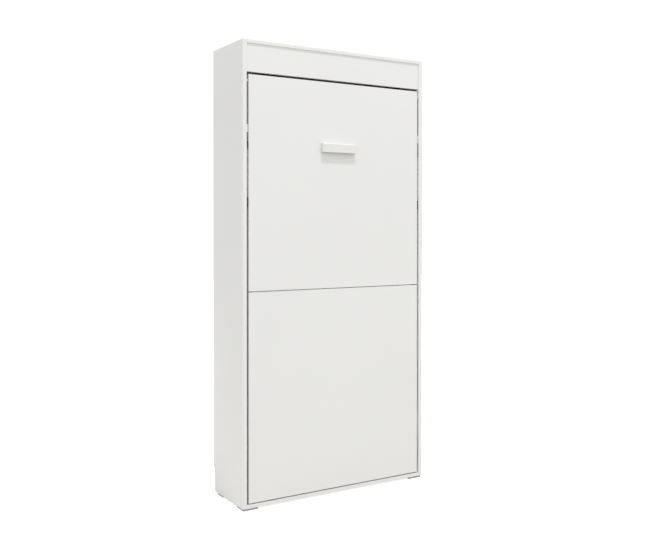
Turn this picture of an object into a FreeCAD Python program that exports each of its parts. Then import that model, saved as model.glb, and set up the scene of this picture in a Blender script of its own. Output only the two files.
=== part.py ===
import FreeCAD
import Part
import Sketcher

import os
import re

# Wall bed that folds upright into a shallow cabinet.
# Millimetres. X runs to the right, Y to the back and Z up. The origin is the middle of the footprint.

# Driving dimensions, one cell each. Depths count from the front face of the cabinet, heights from the floor.
SIZES = {
    # cabinet boards
    "overall_width": 1060,
    "overall_height": 2230,
    "cabinet_depth": 340,
    "side_thickness": 22,
    "top_thickness": 16,
    "bottom_thickness": 18,
    "board_edge_radius": 1,
    "fascia_height": 135,
    "fascia_thickness": 16,
    "fascia_recess": 5,
    "skirting_notch_depth": 14,
    "skirting_notch_height": 120,
    "skirting_notch_radius": 8,
    # back boards in their grooves, with the strip that joins them
    "back_inset": 18.8,
    "back_thickness": 3.2,
    "back_groove_depth": 6,
    "back_groove_play": 0.15,
    "back_edge_play": 0.5,
    "joiner_web": 1.2,
    "joiner_flange": 1,
    "joiner_grip": 9,
    # rails that take the wall fixings
    "wall_rail_thickness": 16,
    "top_rail_height": 100,
    "low_rail_height": 60,
    "low_rail_lift": 130,
    "wall_hole_radius": 4,
    "wall_hole_spacing": 800,
    # cam fittings
    "cam_radius": 7.5,
    "cam_depth": 12.5,
    "cam_play": 0.1,
    "cam_end_distance": 34,
    "cam_front_depth": 60,
    "cam_back_depth": 280,
    "top_cam_front_depth": 60,
    # feet
    "foot_height": 10,
    "foot_width": 76,
    "front_foot_length": 75,
    "rear_foot_length": 60,
    "foot_side_inset": 5,
    "foot_front_inset": 2,
    "rear_foot_back_inset": 40,
    "foot_edge": 2,
    # door and bed box
    "door_thickness": 16,
    "door_side_gap": 10,
    "door_top_gap": 13,
    "door_bottom_gap": 5.5,
    "door_split_gap": 4,
    "door_split_offset": 13.75,
    "bay_width": 38,
    "rail_thickness": 18,
    "rail_depth": 100,
    "rail_edge_radius": 3,
    "batten_height": 70,
    "batten_thickness": 22,
    "corner_leg": 50,
    "corner_thickness": 3,
    "corner_width": 20,
    "corner_lift": 2,
    # handle
    "handle_projection": 20,
    "handle_width": 200,
    "handle_drop": 306,
    "handle_lip_height": 44,
    "handle_flange_height": 34,
    "handle_wall": 2.5,
    "handle_bend_radius": 4,
    "handle_screw_spacing": 128,
    "handle_screw_drop": 22,
    "handle_screw_radius": 2,
    "handle_screw_head_radius": 4,
    "handle_screw_head_height": 2.6,
    # slats and their holders
    "slat_stand_off": 28,
    "slat_thickness": 8,
    "slat_width": 53,
    "slat_rise": 7,
    "slat_first_height": 150,
    "holder_depth": 14,
    "holder_wall": 3,
    "holder_height": 60,
    "slat_end_play": 0.5,
    "slat_slot_play": 0.5,
    # mattress and straps
    "mattress_thickness": 140,
    "mattress_side_play": 3,
    "mattress_end_play": 6,
    "mattress_edge_radius": 30,
    "soft_gap": 0.3,
    "strap_width": 40,
    "strap_thickness": 2,
    "strap_foot": 16,
    "strap_end_distance": 650,
    "buckle_length": 62,
    "buckle_height": 52,
    "buckle_thickness": 8,
    "buckle_offset": 180,
    "buckle_bar": 7,
    "strap_plate_length": 13,
    "strap_plate_height": 30,
    "strap_plate_thickness": 2,
    # main pivot
    "pivot_depth": 30,
    "pivot_height": 294,
    "pivot_pin_radius": 8,
    "pivot_collar_radius": 11,
    "pivot_running_play": 0.05,
    "pivot_end_play": 0.5,
    "pivot_tip_play": 0.8,
    "pivot_plate_thickness": 4,
    "pivot_plate_front": 22,
    "pivot_plate_back": 58,
    "pivot_plate_half_height": 60,
    "arm_thickness": 6,
    "arm_front": 12,
    "arm_back": 36,
    "arm_below": 60,
    "arm_above": 130,
    "arm_boss_radius": 13,
    "arm_boss_length": 8,
    "bush_wall": 2,
    "plate_corner_radius": 8,
    # countersunk screws
    "screw_radius": 2.5,
    "screw_play": 0.1,
    "screw_head_radius": 4.5,
    "screw_edge_distance": 10,
    # gas springs
    "spring_top_depth": 95,
    "spring_top_height": 745,
    "spring_foot_depth": 70,
    "spring_foot_height": 125,
    "spring_offset": 14,
    "spring_tube_radius": 11,
    "spring_tube_wall": 2,
    "spring_tube_length": 370,
    "spring_tube_head": 40,
    "spring_guide_length": 12,
    "spring_rod_radius": 5,
    "spring_running_play": 0.05,
    "spring_piston_length": 15,
    "spring_piston_setback": 10,
    "spring_piston_play": 0.1,
    "spring_tube_chamfer": 1.5,
    "spring_neck_radius": 5.5,
    "spring_neck_length": 26,
    "spring_eye_radius": 12,
    "spring_eye_thickness": 12,
    "spring_pin_radius": 5,
    "spring_pin_collar_radius": 8,
    "spring_pin_overhang": 1,
    "spring_side_play": 0.5,
    "spring_bolt_head_radius": 8,
    "spring_bolt_head_height": 3,
    "spring_plate_thickness": 4,
    "spring_plate_half_width": 20,
    "spring_plate_half_height": 32,
    "spring_foot_boss_radius": 9,
    # legs
    "leg_pivot_depth": 28,
    "leg_pivot_drop": 334,
    "leg_side_play": 2.5,
    "leg_thickness": 5,
    "leg_width": 30,
    "leg_floor_gap": 0.5,
    "leg_bush_radius": 9,
    "leg_bush_flange_radius": 26,
    "leg_bush_flange": 1.6,
    "leg_pin_radius": 6,
    "leg_pin_overhang": 1,
    "leg_collar_radius": 9,
    "leg_foot_height": 42,
    "leg_foot_width": 50,
    "leg_foot_wall": 1.6,
    "leg_foot_sole": 14,
    "leg_foot_play": 0.1,
    "leg_foot_rounding": 3,
    "leg_plate_thickness": 4,
    "leg_plate_front": 12,
    "leg_plate_back": 24,
    "leg_plate_half_height": 30,
    # pads and stops inside the cabinet
    "guide_play": 1,
    "guide_front_inset": 8,
    "guide_depth": 8,
    "guide_height": 37,
    "guide_drop": 273,
    "top_guide_height": 10,
    "top_guide_drop": 33,
    "stop_plate_thickness": 2,
    "stop_plate_width": 20,
    "stop_plate_height": 60,
    "stop_plate_inset": 5,
    "stop_plate_drop": 18,
    "stop_buffer_radius": 8,
    "stop_buffer_drop": 1,
    "stop_gap": 0.3,
    # how far a cut runs past the face that it opens
    "cut_overrun": 1,
}

# Counts that the patterns take
SLAT_COUNT = 14
BATTENS_BELOW_SPLIT = 2
BATTEN_COUNT = 2 * BATTENS_BELOW_SPLIT + 1

# Places worked out from the driving dimensions
DERIVED = {
    "front": "handle_projection / 2 - cabinet_depth / 2",
    "back": "front + cabinet_depth",
    "outer": "overall_width / 2",
    "inner": "outer - side_thickness",
    "side_height": "overall_height - foot_height",
    "floor_top": "foot_height + bottom_thickness",
    "ceiling": "overall_height - top_thickness",
    "back_board_front": "back - back_inset - back_thickness",
    "rail_front": "back_board_front - wall_rail_thickness",
    "groove_front": "cabinet_depth - back_inset - back_thickness - back_groove_play",
    "groove_back": "cabinet_depth - back_inset + back_groove_play",
    "fascia_back": "front + fascia_recess + fascia_thickness",
    "fascia_bottom": "ceiling - fascia_height",
    "door_half": "inner - door_side_gap",
    "door_bottom": "floor_top + door_bottom_gap",
    "door_top": "fascia_bottom - door_top_gap",
    "door_split_height": "(door_bottom + door_top) / 2 - door_split_offset",
    "joiner_height": "(floor_top + ceiling) / 2",
    "door_upper_bottom": "door_split_height + door_split_gap / 2",
    "handle_top": "door_top - handle_drop",
    "handle_screw_height": "handle_top - handle_screw_drop",
    "door_back": "front + door_thickness",
    "box_outer": "inner - bay_width",
    "box_inner": "box_outer - rail_thickness",
    "box_back": "door_back + rail_depth",
    "box_floor": "door_bottom + rail_thickness",
    "box_ceiling": "door_top - rail_thickness",
    "batten_pitch": f"(door_split_height - box_floor) / {BATTENS_BELOW_SPLIT + 1}",
    "batten_first_height": f"door_split_height - {BATTENS_BELOW_SPLIT} * batten_pitch",
    "slat_seat": "door_back + slat_stand_off",
    "slat_half": "box_inner - holder_wall - slat_end_play",
    "slat_bow_radius": "(slat_half * slat_half + slat_rise * slat_rise) / (2 * slat_rise)",
    "slat_last_height": "box_ceiling - (slat_first_height - box_floor)",
    "mattress_half": "box_inner - mattress_side_play",
    "mattress_front": "slat_seat + slat_thickness + slat_rise + soft_gap",
    "mattress_back": "mattress_front + mattress_thickness",
    "mattress_bottom": "box_floor + soft_gap",
    "mattress_top": "box_ceiling - mattress_end_play",
    "strap_low_height": "mattress_bottom + strap_end_distance",
    "strap_high_height": "mattress_top - strap_end_distance",
    "strap_outer": "box_inner - soft_gap",
    "strap_back": "mattress_back + soft_gap + strap_thickness",
    "strap_foot_back": "box_back + soft_gap + strap_thickness",
    "pivot_y": "front + pivot_depth",
    "arm_face": "box_outer + arm_thickness + arm_boss_length",
    "spring_x": "box_outer + spring_offset",
    "spring_eye_near": "spring_x - spring_eye_thickness / 2",
    "spring_eye_far": "spring_x + spring_eye_thickness / 2",
    "spring_drop": "spring_top_height - spring_foot_height",
    "spring_lean": "spring_top_depth - spring_foot_depth",
    "spring_length": "sqrt(spring_drop * spring_drop + spring_lean * spring_lean)",
    "spring_bore_radius": "spring_tube_radius - spring_tube_wall",
    "spring_guide_bore": "spring_rod_radius + spring_running_play",
    "piston_low": "spring_length - spring_tube_length + spring_guide_length + spring_piston_setback",
    "leg_near": "inner - leg_side_play - leg_thickness",
    "leg_far": "inner - leg_side_play",
    "leg_y": "front + leg_pivot_depth",
    "leg_pivot_height": "door_top - leg_pivot_drop",
    "leg_length": "pivot_height + leg_pivot_depth - pivot_depth - leg_floor_gap",
    "leg_bush_near": "leg_near - leg_bush_flange",
    "leg_bar_length": "leg_length - leg_foot_sole",
}

doc = FreeCAD.newDocument("wall_bed")
sheet = doc.addObject("Spreadsheet::Sheet", "sizes")
for row, (alias, size) in enumerate(SIZES.items(), start=1):
    sheet.set(f"A{row}", alias)
    sheet.set(f"B{row}", str(size))
    sheet.setAlias(f"B{row}", alias)
doc.recompute()

parts = []
SIDES = (("left", -1), ("right", 1))
FULL_TURN = 360

# How close two places, or two directions, count as the same
SAME_PLACE = 1e-4
SAME_DIRECTION = 1e-6


# Formulas of named sizes

def formula(text):
    """Spell out the derived names and point each driving name at its cell."""
    def spell(match):
        word = match.group(0)
        if word in DERIVED:
            return "(" + formula(DERIVED[word]) + ")"
        return "sizes." + word if word in SIZES else word
    return re.sub(r"[A-Za-z_]+", spell, text)


def value(text):
    """The number that a formula gives."""
    return float(sheet.evalExpression(formula(text)))


def bind(thing, name, text):
    thing.setExpression(name, formula(text))


def place(thing, x="0", y="0", z="0"):
    bind(thing, "Placement.Base.x", x)
    bind(thing, "Placement.Base.y", y)
    bind(thing, "Placement.Base.z", z)


def span(sign, near, far):
    """The low and high X of a piece that lies between two distances from the middle, on one side."""
    return (near, far) if sign > 0 else (f"-({far})", f"-({near})")


# Bodies, sketches and the features on them

def new_body(name):
    body = doc.addObject("PartDesign::Body", name)
    body.Label = name
    parts.append(body)
    return body


def origin_part(body, role):
    return next(part for part in body.Origin.OriginFeatures if part.Role == role)


def feature(body, kind):
    return body.newObject("PartDesign::" + kind, f"{body.Name}_{kind.lower()}")


def new_sketch(body, role, offset="0"):
    """A sketch on one of the body's own planes, moved along that plane's normal."""
    sketch = body.newObject("Sketcher::SketchObject", f"{body.Name}_sketch")
    sketch.AttachmentSupport = (origin_part(body, role), [""])
    sketch.MapMode = "FlatFace"
    bind(sketch, "AttachmentOffset.Base.z", offset)
    return sketch


def hold(sketch, kind, number, *point, text):
    index = sketch.addConstraint(Sketcher.Constraint(kind, number, *point, value(text)))
    bind(sketch, f"Constraints[{index}]", text)


def hold_point(sketch, number, point, place_text):
    hold(sketch, "DistanceX", number, point, text=place_text[0])
    hold(sketch, "DistanceY", number, point, text=place_text[1])


def vector(x, y):
    return FreeCAD.Vector(value(x), value(y), 0)


def draw_outline(sketch, corners):
    """A closed run of straight lines, each corner held at its named place."""
    first = sketch.GeometryCount
    count = len(corners)
    for index, corner in enumerate(corners):
        end = corners[(index + 1) % count]
        sketch.addGeometry(Part.LineSegment(vector(*corner), vector(*end)))
    for index, corner in enumerate(corners):
        following = first + (index + 1) % count
        sketch.addConstraint(Sketcher.Constraint("Coincident", first + index, 2, following, 1))
        hold_point(sketch, first + index, 1, corner)


def draw_rectangle(sketch, left, right, low, high):
    draw_outline(sketch, [(left, low), (right, low), (right, high), (left, high)])


def draw_circle(sketch, x, y, radius):
    circle = Part.Circle(vector(x, y), FreeCAD.Vector(0, 0, 1), value(radius))
    number = sketch.addGeometry(circle)
    hold_point(sketch, number, 3, (x, y))
    hold(sketch, "Radius", number, text=radius)


def extrude(body, kind, sketch, length, reverse, middle, taper):
    result = feature(body, kind)
    result.Profile = sketch
    bind(result, "Length", length)
    bind(result, "TaperAngle", taper)
    result.Reversed = reverse
    result.SideType = "Symmetric" if middle else "One side"
    body.Tip = result
    return result


def pad(body, sketch, length, reverse=False, middle=False, taper="0"):
    return extrude(body, "Pad", sketch, length, reverse, middle, taper)


def pocket(body, sketch, length, reverse=False, middle=False, taper="0"):
    """A cut, which has to take something away."""
    doc.recompute()
    before = body.Shape.Volume
    result = extrude(body, "Pocket", sketch, length, reverse, middle, taper)
    doc.recompute()
    if not body.Shape.Volume < before:
        raise ValueError(f"{result.Name} cuts nothing")
    return result


def revolve(body, sketch):
    result = feature(body, "Revolution")
    result.Profile = sketch
    result.ReferenceAxis = (sketch, ["V_Axis"])
    result.Angle = FULL_TURN
    body.Tip = result
    return result


def dress(body, kind, size_name, size, chosen):
    """A fillet or chamfer on the edges of the body that the test chooses."""
    doc.recompute()
    base = body.Tip
    names = [f"Edge{i}" for i, edge in enumerate(base.Shape.Edges, start=1) if chosen(edge)]
    if not names:
        raise ValueError(f"{body.Name} has no such edge")
    result = feature(body, kind)
    result.Base = (base, names)
    bind(result, size_name, size)
    body.Tip = result
    return result


def fillet(body, radius, chosen):
    return dress(body, "Fillet", "Radius", radius, chosen)


def chamfer(body, size, chosen):
    return dress(body, "Chamfer", "Size", size, chosen)


def along(edge, axis):
    """Whether a straight edge runs along X, Y or Z, given as 0, 1 or 2."""
    if not isinstance(edge.Curve, Part.Line):
        return False
    return abs(abs(edge.Curve.Direction[axis]) - 1) < SAME_DIRECTION


def lies_at(edge, axis, text):
    """Whether a whole edge lies in the plane at that place on the axis."""
    box = edge.BoundBox
    low = (box.XMin, box.YMin, box.ZMin)[axis]
    high = (box.XMax, box.YMax, box.ZMax)[axis]
    wanted = value(text)
    return abs(low - wanted) < SAME_PLACE and abs(high - wanted) < SAME_PLACE


def board(name, x, y, z):
    """A board between the low and high places on each axis, its own origin at its low corner."""
    body = new_body(name)
    sketch = new_sketch(body, "XY_Plane")
    draw_rectangle(sketch, "0", f"({x[1]}) - ({x[0]})", "0", f"({y[1]}) - ({y[0]})")
    pad(body, sketch, f"({z[1]}) - ({z[0]})")
    place(body, x[0], y[0], z[0])
    return body


def soften_front(body):
    """The rolled edge of the edging strip round a board's front face."""
    fillet(body, "board_edge_radius", lambda edge: lies_at(edge, 1, "0"))


# Side panels: the skirting notch at the back and the groove of the back boards

for side, sign in SIDES:
    body = new_body(f"side_panel_{side}")
    notch_front = "cabinet_depth - skirting_notch_depth"
    outline = new_sketch(body, "YZ_Plane")
    draw_outline(outline, [
        ("0", "0"),
        (notch_front, "0"),
        (notch_front, "skirting_notch_height"),
        ("cabinet_depth", "skirting_notch_height"),
        ("cabinet_depth", "side_height"),
        ("0", "side_height"),
    ])
    pad(body, outline, "side_thickness")
    inside = "side_thickness" if sign < 0 else "0"
    groove = new_sketch(body, "YZ_Plane", inside)
    draw_rectangle(groove, "groove_front", "groove_back", "-cut_overrun", "side_height + cut_overrun")
    pocket(body, groove, "back_groove_depth", reverse=sign > 0)
    fillet(body, "skirting_notch_radius", lambda edge: along(edge, 0) and lies_at(
        edge, 1, notch_front) and lies_at(edge, 2, "skirting_notch_height"))
    soften_front(body)
    place(body, span(sign, "inner", "outer")[0], "front", "foot_height")


# Top and bottom panels between the sides, grooved for the back boards, with blind holes for the cams

def cam_places(front_cam, back_cam):
    """Four cams, two near each end of a panel, counted from its left front corner."""
    ends = ("cam_end_distance", "2 * inner - cam_end_distance")
    return [(x, y) for x in ends for y in (front_cam, back_cam)]


def cut_cams(body, places, role, offset, reverse):
    holes = new_sketch(body, role, offset)
    for x, y in places:
        draw_circle(holes, x, y, "cam_radius")
    pocket(body, holes, "cam_depth", reverse=reverse)


top_panel = board("top_panel", ("-inner", "inner"), ("front", "back"), ("ceiling", "overall_height"))
groove = new_sketch(top_panel, "XY_Plane")
draw_rectangle(groove, "-cut_overrun", "2 * inner + cut_overrun", "groove_front", "groove_back")
pocket(top_panel, groove, "back_groove_depth", reverse=True)
cut_cams(top_panel, cam_places("top_cam_front_depth", "cam_back_depth"), "XY_Plane", "0", True)
soften_front(top_panel)

bottom_panel = board("bottom_panel", ("-inner", "inner"), ("front", "back - skirting_notch_depth"),
                     ("foot_height", "floor_top"))
groove = new_sketch(bottom_panel, "XY_Plane", "bottom_thickness")
draw_rectangle(groove, "-cut_overrun", "2 * inner + cut_overrun", "groove_front", "groove_back")
pocket(bottom_panel, groove, "back_groove_depth")
cut_cams(bottom_panel, cam_places("cam_front_depth", "cam_back_depth"), "XY_Plane", "0", True)
soften_front(bottom_panel)


# Fascia under the top panel, set back behind the front edges of the sides

FASCIA_CAM_HEIGHT = "fascia_height / 2"
FASCIA_CAMS = [(x, FASCIA_CAM_HEIGHT) for x in ("cam_end_distance", "2 * inner - cam_end_distance")]
fascia = board("fascia", ("-inner", "inner"), ("front + fascia_recess", "fascia_back"),
               ("fascia_bottom", "ceiling"))
cut_cams(fascia, FASCIA_CAMS, "XZ_Plane", "-fascia_thickness", True)
fillet(fascia, "board_edge_radius", lambda edge: along(edge, 0) and lies_at(
    edge, 1, "0") and lies_at(edge, 2, "0"))


# Wall rails, with the holes of the wall fixings

def wall_rail(name, low, high):
    height = f"({high}) - ({low})"
    middle = f"({height}) / 2"
    body = board(name, ("-inner", "inner"), ("rail_front", "back_board_front"), (low, high))
    cams = [(x, middle) for x in ("cam_end_distance", "2 * inner - cam_end_distance")]
    cut_cams(body, cams, "XZ_Plane", "0", False)
    holes = new_sketch(body, "XZ_Plane")
    for x in ("inner - wall_hole_spacing / 2", "inner + wall_hole_spacing / 2"):
        draw_circle(holes, x, middle, "wall_hole_radius")
    pocket(body, holes, "2 * (wall_rail_thickness + cut_overrun)", middle=True)
    return body


TOP_RAIL = ("ceiling - top_rail_height", "ceiling")
LOW_RAIL = ("low_rail_lift", "low_rail_lift + low_rail_height")
TOP_HOLE_HEIGHT = "ceiling - top_rail_height / 2"
LOW_HOLE_HEIGHT = "low_rail_lift + low_rail_height / 2"
wall_rail("wall_rail_top", *TOP_RAIL)
wall_rail("wall_rail_bottom", *LOW_RAIL)


# Back boards, slid into the grooves and joined by a strip across the middle

def back_board(name, low, high, hole_height):
    half = "(inner + back_groove_depth - back_edge_play)"
    body = board(name, (f"-{half}", half), ("back_board_front", "back_board_front + back_thickness"), (low, high))
    holes = new_sketch(body, "XZ_Plane")
    for x in (f"{half} - wall_hole_spacing / 2", f"{half} + wall_hole_spacing / 2"):
        draw_circle(holes, x, f"({hole_height}) - ({low})", "wall_hole_radius")
    pocket(body, holes, "2 * (back_thickness + cut_overrun)", middle=True)
    return body


back_board("back_panel_lower", "floor_top - back_groove_depth + back_edge_play",
           "joiner_height - joiner_web / 2", LOW_HOLE_HEIGHT)
back_board("back_panel_upper", "joiner_height + joiner_web / 2",
           "ceiling + back_groove_depth - back_edge_play", TOP_HOLE_HEIGHT)

joiner = new_body("back_panel_joiner")
strip = new_sketch(joiner, "YZ_Plane")
board_half = "(back_thickness / 2 + back_groove_play)"
flange_half = f"({board_half} + joiner_flange)"
web_half = "joiner_web / 2"
grip_half = "(joiner_web / 2 + joiner_grip)"
draw_outline(strip, [
    (f"-{flange_half}", f"-{grip_half}"),
    (f"-{board_half}", f"-{grip_half}"),
    (f"-{board_half}", f"-{web_half}"),
    (board_half, f"-{web_half}"),
    (board_half, f"-{grip_half}"),
    (flange_half, f"-{grip_half}"),
    (flange_half, grip_half),
    (board_half, grip_half),
    (board_half, web_half),
    (f"-{board_half}", web_half),
    (f"-{board_half}", grip_half),
    (f"-{flange_half}", grip_half),
])
pad(joiner, strip, "2 * inner", middle=True)
place(joiner, "0", "back_board_front + back_thickness / 2", "joiner_height")


# Cam fittings in the blind holes of the panels

cams = new_body("cam_locks")
cam_body_radius = "cam_radius - cam_play"
cam_body_depth = "cam_depth - cam_play"
for low, front_cam in (("ceiling", "top_cam_front_depth"), ("foot_height", "cam_front_depth")):
    sketch = new_sketch(cams, "XY_Plane", low)
    for x, y in cam_places(front_cam, "cam_back_depth"):
        draw_circle(sketch, f"{x} - inner", f"front + {y}", cam_body_radius)
    pad(cams, sketch, cam_body_depth)
sketch = new_sketch(cams, "XZ_Plane", "-fascia_back")
for x, y in FASCIA_CAMS:
    draw_circle(sketch, f"{x} - inner", f"fascia_bottom + {y}", cam_body_radius)
pad(cams, sketch, cam_body_depth)
sketch = new_sketch(cams, "XZ_Plane", "-rail_front")
for x in ("cam_end_distance - inner", "inner - cam_end_distance"):
    for z in (TOP_HOLE_HEIGHT, LOW_HOLE_HEIGHT):
        draw_circle(sketch, x, z, cam_body_radius)
pad(cams, sketch, cam_body_depth, reverse=True)


# Foot pads under the side panels

def foot_pads(name, front_edge, length):
    body = new_body(name)
    sketch = new_sketch(body, "XY_Plane")
    for side, sign in SIDES:
        low, high = span(sign, "outer - foot_side_inset - foot_width", "outer - foot_side_inset")
        draw_rectangle(sketch, low, high, "0", length)
    pad(body, sketch, "foot_height")
    chamfer(body, "foot_edge", lambda edge: lies_at(edge, 2, "0"))
    place(body, "0", front_edge, "0")


foot_pads("foot_pads_front", "front + foot_front_inset", "front_foot_length")
foot_pads("foot_pads_rear", "back - rear_foot_back_inset - rear_foot_length", "rear_foot_length")


# Steel plates on a board's face, each with a stepped pin and countersunk screws

def corner_screws(y, z):
    """One screw near each corner of a plate, counted from the plate's own centre of motion."""
    ends_y = (f"({y[0]}) + screw_edge_distance", f"({y[1]}) - screw_edge_distance")
    ends_z = (f"({z[0]}) + screw_edge_distance", f"({z[1]}) - screw_edge_distance")
    return [(a, b) for a in ends_y for b in ends_z]


def middle_screws(z):
    """A screw above the pin and one below it."""
    return [("0", f"({z[0]}) + screw_edge_distance"), ("0", f"({z[1]}) - screw_edge_distance")]


def screw_taper(thickness):
    """The slope of a countersunk head that ends as the shank leaves the plate."""
    return f"-atan((screw_head_radius - screw_radius) / ({thickness}))"


def pinned_plate(name, direction, face, y, z, centre, thickness, steps, places):
    """A plate on the face at X, its pin pointing along the direction.

    The plate's limits count from the pin's axis. Each step of the pin has a radius and a distance
    from the face that it reaches.
    """
    body = new_body(name)
    backwards = direction < 0
    sketch = new_sketch(body, "YZ_Plane")
    draw_rectangle(sketch, y[0], y[1], z[0], z[1])
    pad(body, sketch, thickness, reverse=backwards)
    fillet(body, "plate_corner_radius", lambda edge: along(edge, 0))
    holes = new_sketch(body, "YZ_Plane", f"{direction} * ({thickness})")
    for a, b in places:
        draw_circle(holes, a, b, "screw_head_radius + screw_play")
    pocket(body, holes, thickness, reverse=backwards, taper=screw_taper(thickness))
    reached = thickness
    for radius, reach in steps:
        sketch = new_sketch(body, "YZ_Plane", f"{direction} * ({reached})")
        draw_circle(sketch, "0", "0", radius)
        pad(body, sketch, f"({reach}) - ({reached})", reverse=backwards)
        reached = reach
    place(body, face, *centre)
    return body


def plate_screws(name, groups):
    """Countersunk screws, each group with a face, a direction, a plate thickness, a centre and places."""
    body = new_body(name)
    for face, direction, thickness, centre, places in groups:
        sketch = new_sketch(body, "YZ_Plane", f"{face} + {direction} * ({thickness})")
        for y, z in places:
            draw_circle(sketch, f"{y} + ({centre[0]})", f"{z} + ({centre[1]})", "screw_head_radius")
        pad(body, sketch, thickness, reverse=direction > 0, taper=screw_taper(thickness))


# Main pivot: plates on the side panels, whose collared pins carry the bed

PIVOT = ("pivot_y", "pivot_height")
PIVOT_PLATE_Y = ("-pivot_plate_front", "pivot_plate_back")
PIVOT_PLATE_Z = ("-pivot_plate_half_height", "pivot_plate_half_height")
places = corner_screws(PIVOT_PLATE_Y, PIVOT_PLATE_Z)
groups = []
for side, sign in SIDES:
    pinned_plate(
        f"pivot_plate_{side}", -sign, f"{sign} * inner", PIVOT_PLATE_Y, PIVOT_PLATE_Z, PIVOT,
        "pivot_plate_thickness",
        [("pivot_collar_radius", "inner - arm_face - pivot_end_play"),
         ("pivot_pin_radius", "inner - box_outer - pivot_tip_play")], places)
    groups.append((f"{sign} * inner", -sign, "pivot_plate_thickness", PIVOT, places))
plate_screws("pivot_plate_screws", groups)


# Pivot arms on the bed's side rails, bored for a bush

ARM_Y = ("-arm_front", "arm_back")
ARM_Z = ("-arm_below", "arm_above")
places = corner_screws(ARM_Y, ARM_Z)
groups = []
for side, sign in SIDES:
    body = pinned_plate(
        f"pivot_arm_{side}", sign, f"{sign} * box_outer", ARM_Y, ARM_Z, PIVOT, "arm_thickness",
        [("arm_boss_radius", "arm_thickness + arm_boss_length")], places)
    bore = new_sketch(body, "YZ_Plane")
    draw_circle(bore, "0", "0", "pivot_pin_radius + 2 * pivot_running_play + bush_wall")
    pocket(body, bore, "2 * (arm_thickness + arm_boss_length + cut_overrun)", middle=True)
    groups.append((f"{sign} * box_outer", sign, "arm_thickness", PIVOT, places))
plate_screws("pivot_arm_screws", groups)

bushes = new_body("pivot_bushes")
for side, sign in SIDES:
    sketch = new_sketch(bushes, "YZ_Plane", f"{sign} * box_outer")
    draw_circle(sketch, "0", "0", "pivot_pin_radius + pivot_running_play + bush_wall")
    draw_circle(sketch, "0", "0", "pivot_pin_radius + pivot_running_play")
    pad(bushes, sketch, "arm_thickness + arm_boss_length", reverse=sign < 0)
place(bushes, "0", *PIVOT)


# Doors: two boards that stay together and form the underside of the bed

door_lower = board("door_lower", ("-door_half", "door_half"), ("front", "door_back"),
                   ("door_bottom", "door_split_height - door_split_gap / 2"))
soften_front(door_lower)
door_upper = board("door_upper", ("-door_half", "door_half"), ("front", "door_back"),
                   ("door_upper_bottom", "door_top"))
soften_front(door_upper)


# Bed box behind the doors

for side, sign in SIDES:
    rail = board(f"side_rail_{side}", span(sign, "box_inner", "box_outer"), ("door_back", "box_back"),
                 ("door_bottom", "door_top"))
    fillet(rail, "rail_edge_radius", lambda edge: along(edge, 2) and lies_at(edge, 1, "rail_depth"))
for name, low, high in (("head_rail", "door_bottom", "box_floor"), ("foot_rail", "box_ceiling", "door_top")):
    rail = board(name, ("-box_inner", "box_inner"), ("door_back", "box_back"), (low, high))
    fillet(rail, "rail_edge_radius", lambda edge: along(edge, 0) and lies_at(edge, 1, "rail_depth"))

battens = board("door_battens", ("-box_inner", "box_inner"), ("door_back", "door_back + batten_thickness"),
                ("batten_first_height - batten_height / 2", "batten_first_height + batten_height / 2"))


def repeat_up(body, originals, length, count):
    """Copies of the features, evenly spaced up the body."""
    doc.recompute()
    row_of_copies = feature(body, "LinearPattern")
    row_of_copies.Originals = originals
    row_of_copies.Direction = (origin_part(body, "Z_Axis"), [""])
    bind(row_of_copies, "Length", length)
    row_of_copies.Occurrences = count
    body.Tip = row_of_copies


repeat_up(battens, [battens.Tip], f"{BATTEN_COUNT - 1} * batten_pitch", BATTEN_COUNT)

corners = new_body("corner_brackets")
sketch = new_sketch(corners, "XZ_Plane", "-(door_back + corner_lift)")
for sign in (-1, 1):
    for height, upward in (("box_floor", 1), ("box_ceiling", -1)):
        wall = f"{sign} * box_inner"
        leg_end = f"{sign} * (box_inner - corner_leg)"
        leg_face = f"{sign} * (box_inner - corner_thickness)"
        draw_outline(sketch, [
            (wall, height),
            (leg_end, height),
            (leg_end, f"{height} + {upward} * corner_thickness"),
            (leg_face, f"{height} + {upward} * corner_thickness"),
            (leg_face, f"{height} + {upward} * corner_leg"),
            (wall, f"{height} + {upward} * corner_leg"),
        ])
pad(corners, sketch, "corner_width", reverse=True)


# Handle: a folded grip, open underneath, screwed on from behind the door

handle = new_body("handle")
sketch = new_sketch(handle, "YZ_Plane")
draw_outline(sketch, [
    ("0", "0"),
    ("0", "-handle_flange_height"),
    ("-handle_wall", "-handle_flange_height"),
    ("-handle_wall", "-handle_wall"),
    ("handle_wall - handle_projection", "-handle_wall"),
    ("handle_wall - handle_projection", "-handle_lip_height"),
    ("-handle_projection", "-handle_lip_height"),
    ("-handle_projection", "0"),
])
pad(handle, sketch, "handle_width", middle=True)
fillet(handle, "handle_bend_radius", lambda edge: along(edge, 0) and lies_at(
    edge, 1, "-handle_projection") and lies_at(edge, 2, "0"))
fillet(handle, "handle_bend_radius - handle_wall", lambda edge: along(edge, 0) and lies_at(
    edge, 1, "handle_wall - handle_projection") and lies_at(edge, 2, "-handle_wall"))
HANDLE_SCREWS = ("-handle_screw_spacing / 2", "handle_screw_spacing / 2")
threads = new_sketch(handle, "XZ_Plane")
for x in HANDLE_SCREWS:
    draw_circle(threads, x, "-handle_screw_drop", "handle_screw_radius + screw_play")
pocket(handle, threads, "2 * (handle_wall + cut_overrun)", middle=True)
place(handle, "0", "front", "handle_top")

screw_passages = new_sketch(door_upper, "XZ_Plane")
for x in HANDLE_SCREWS:
    draw_circle(screw_passages, f"door_half + {x}", "handle_screw_height - door_upper_bottom",
                "handle_screw_radius + screw_play")
pocket(door_upper, screw_passages, "2 * (door_thickness + cut_overrun)", middle=True)

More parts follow.
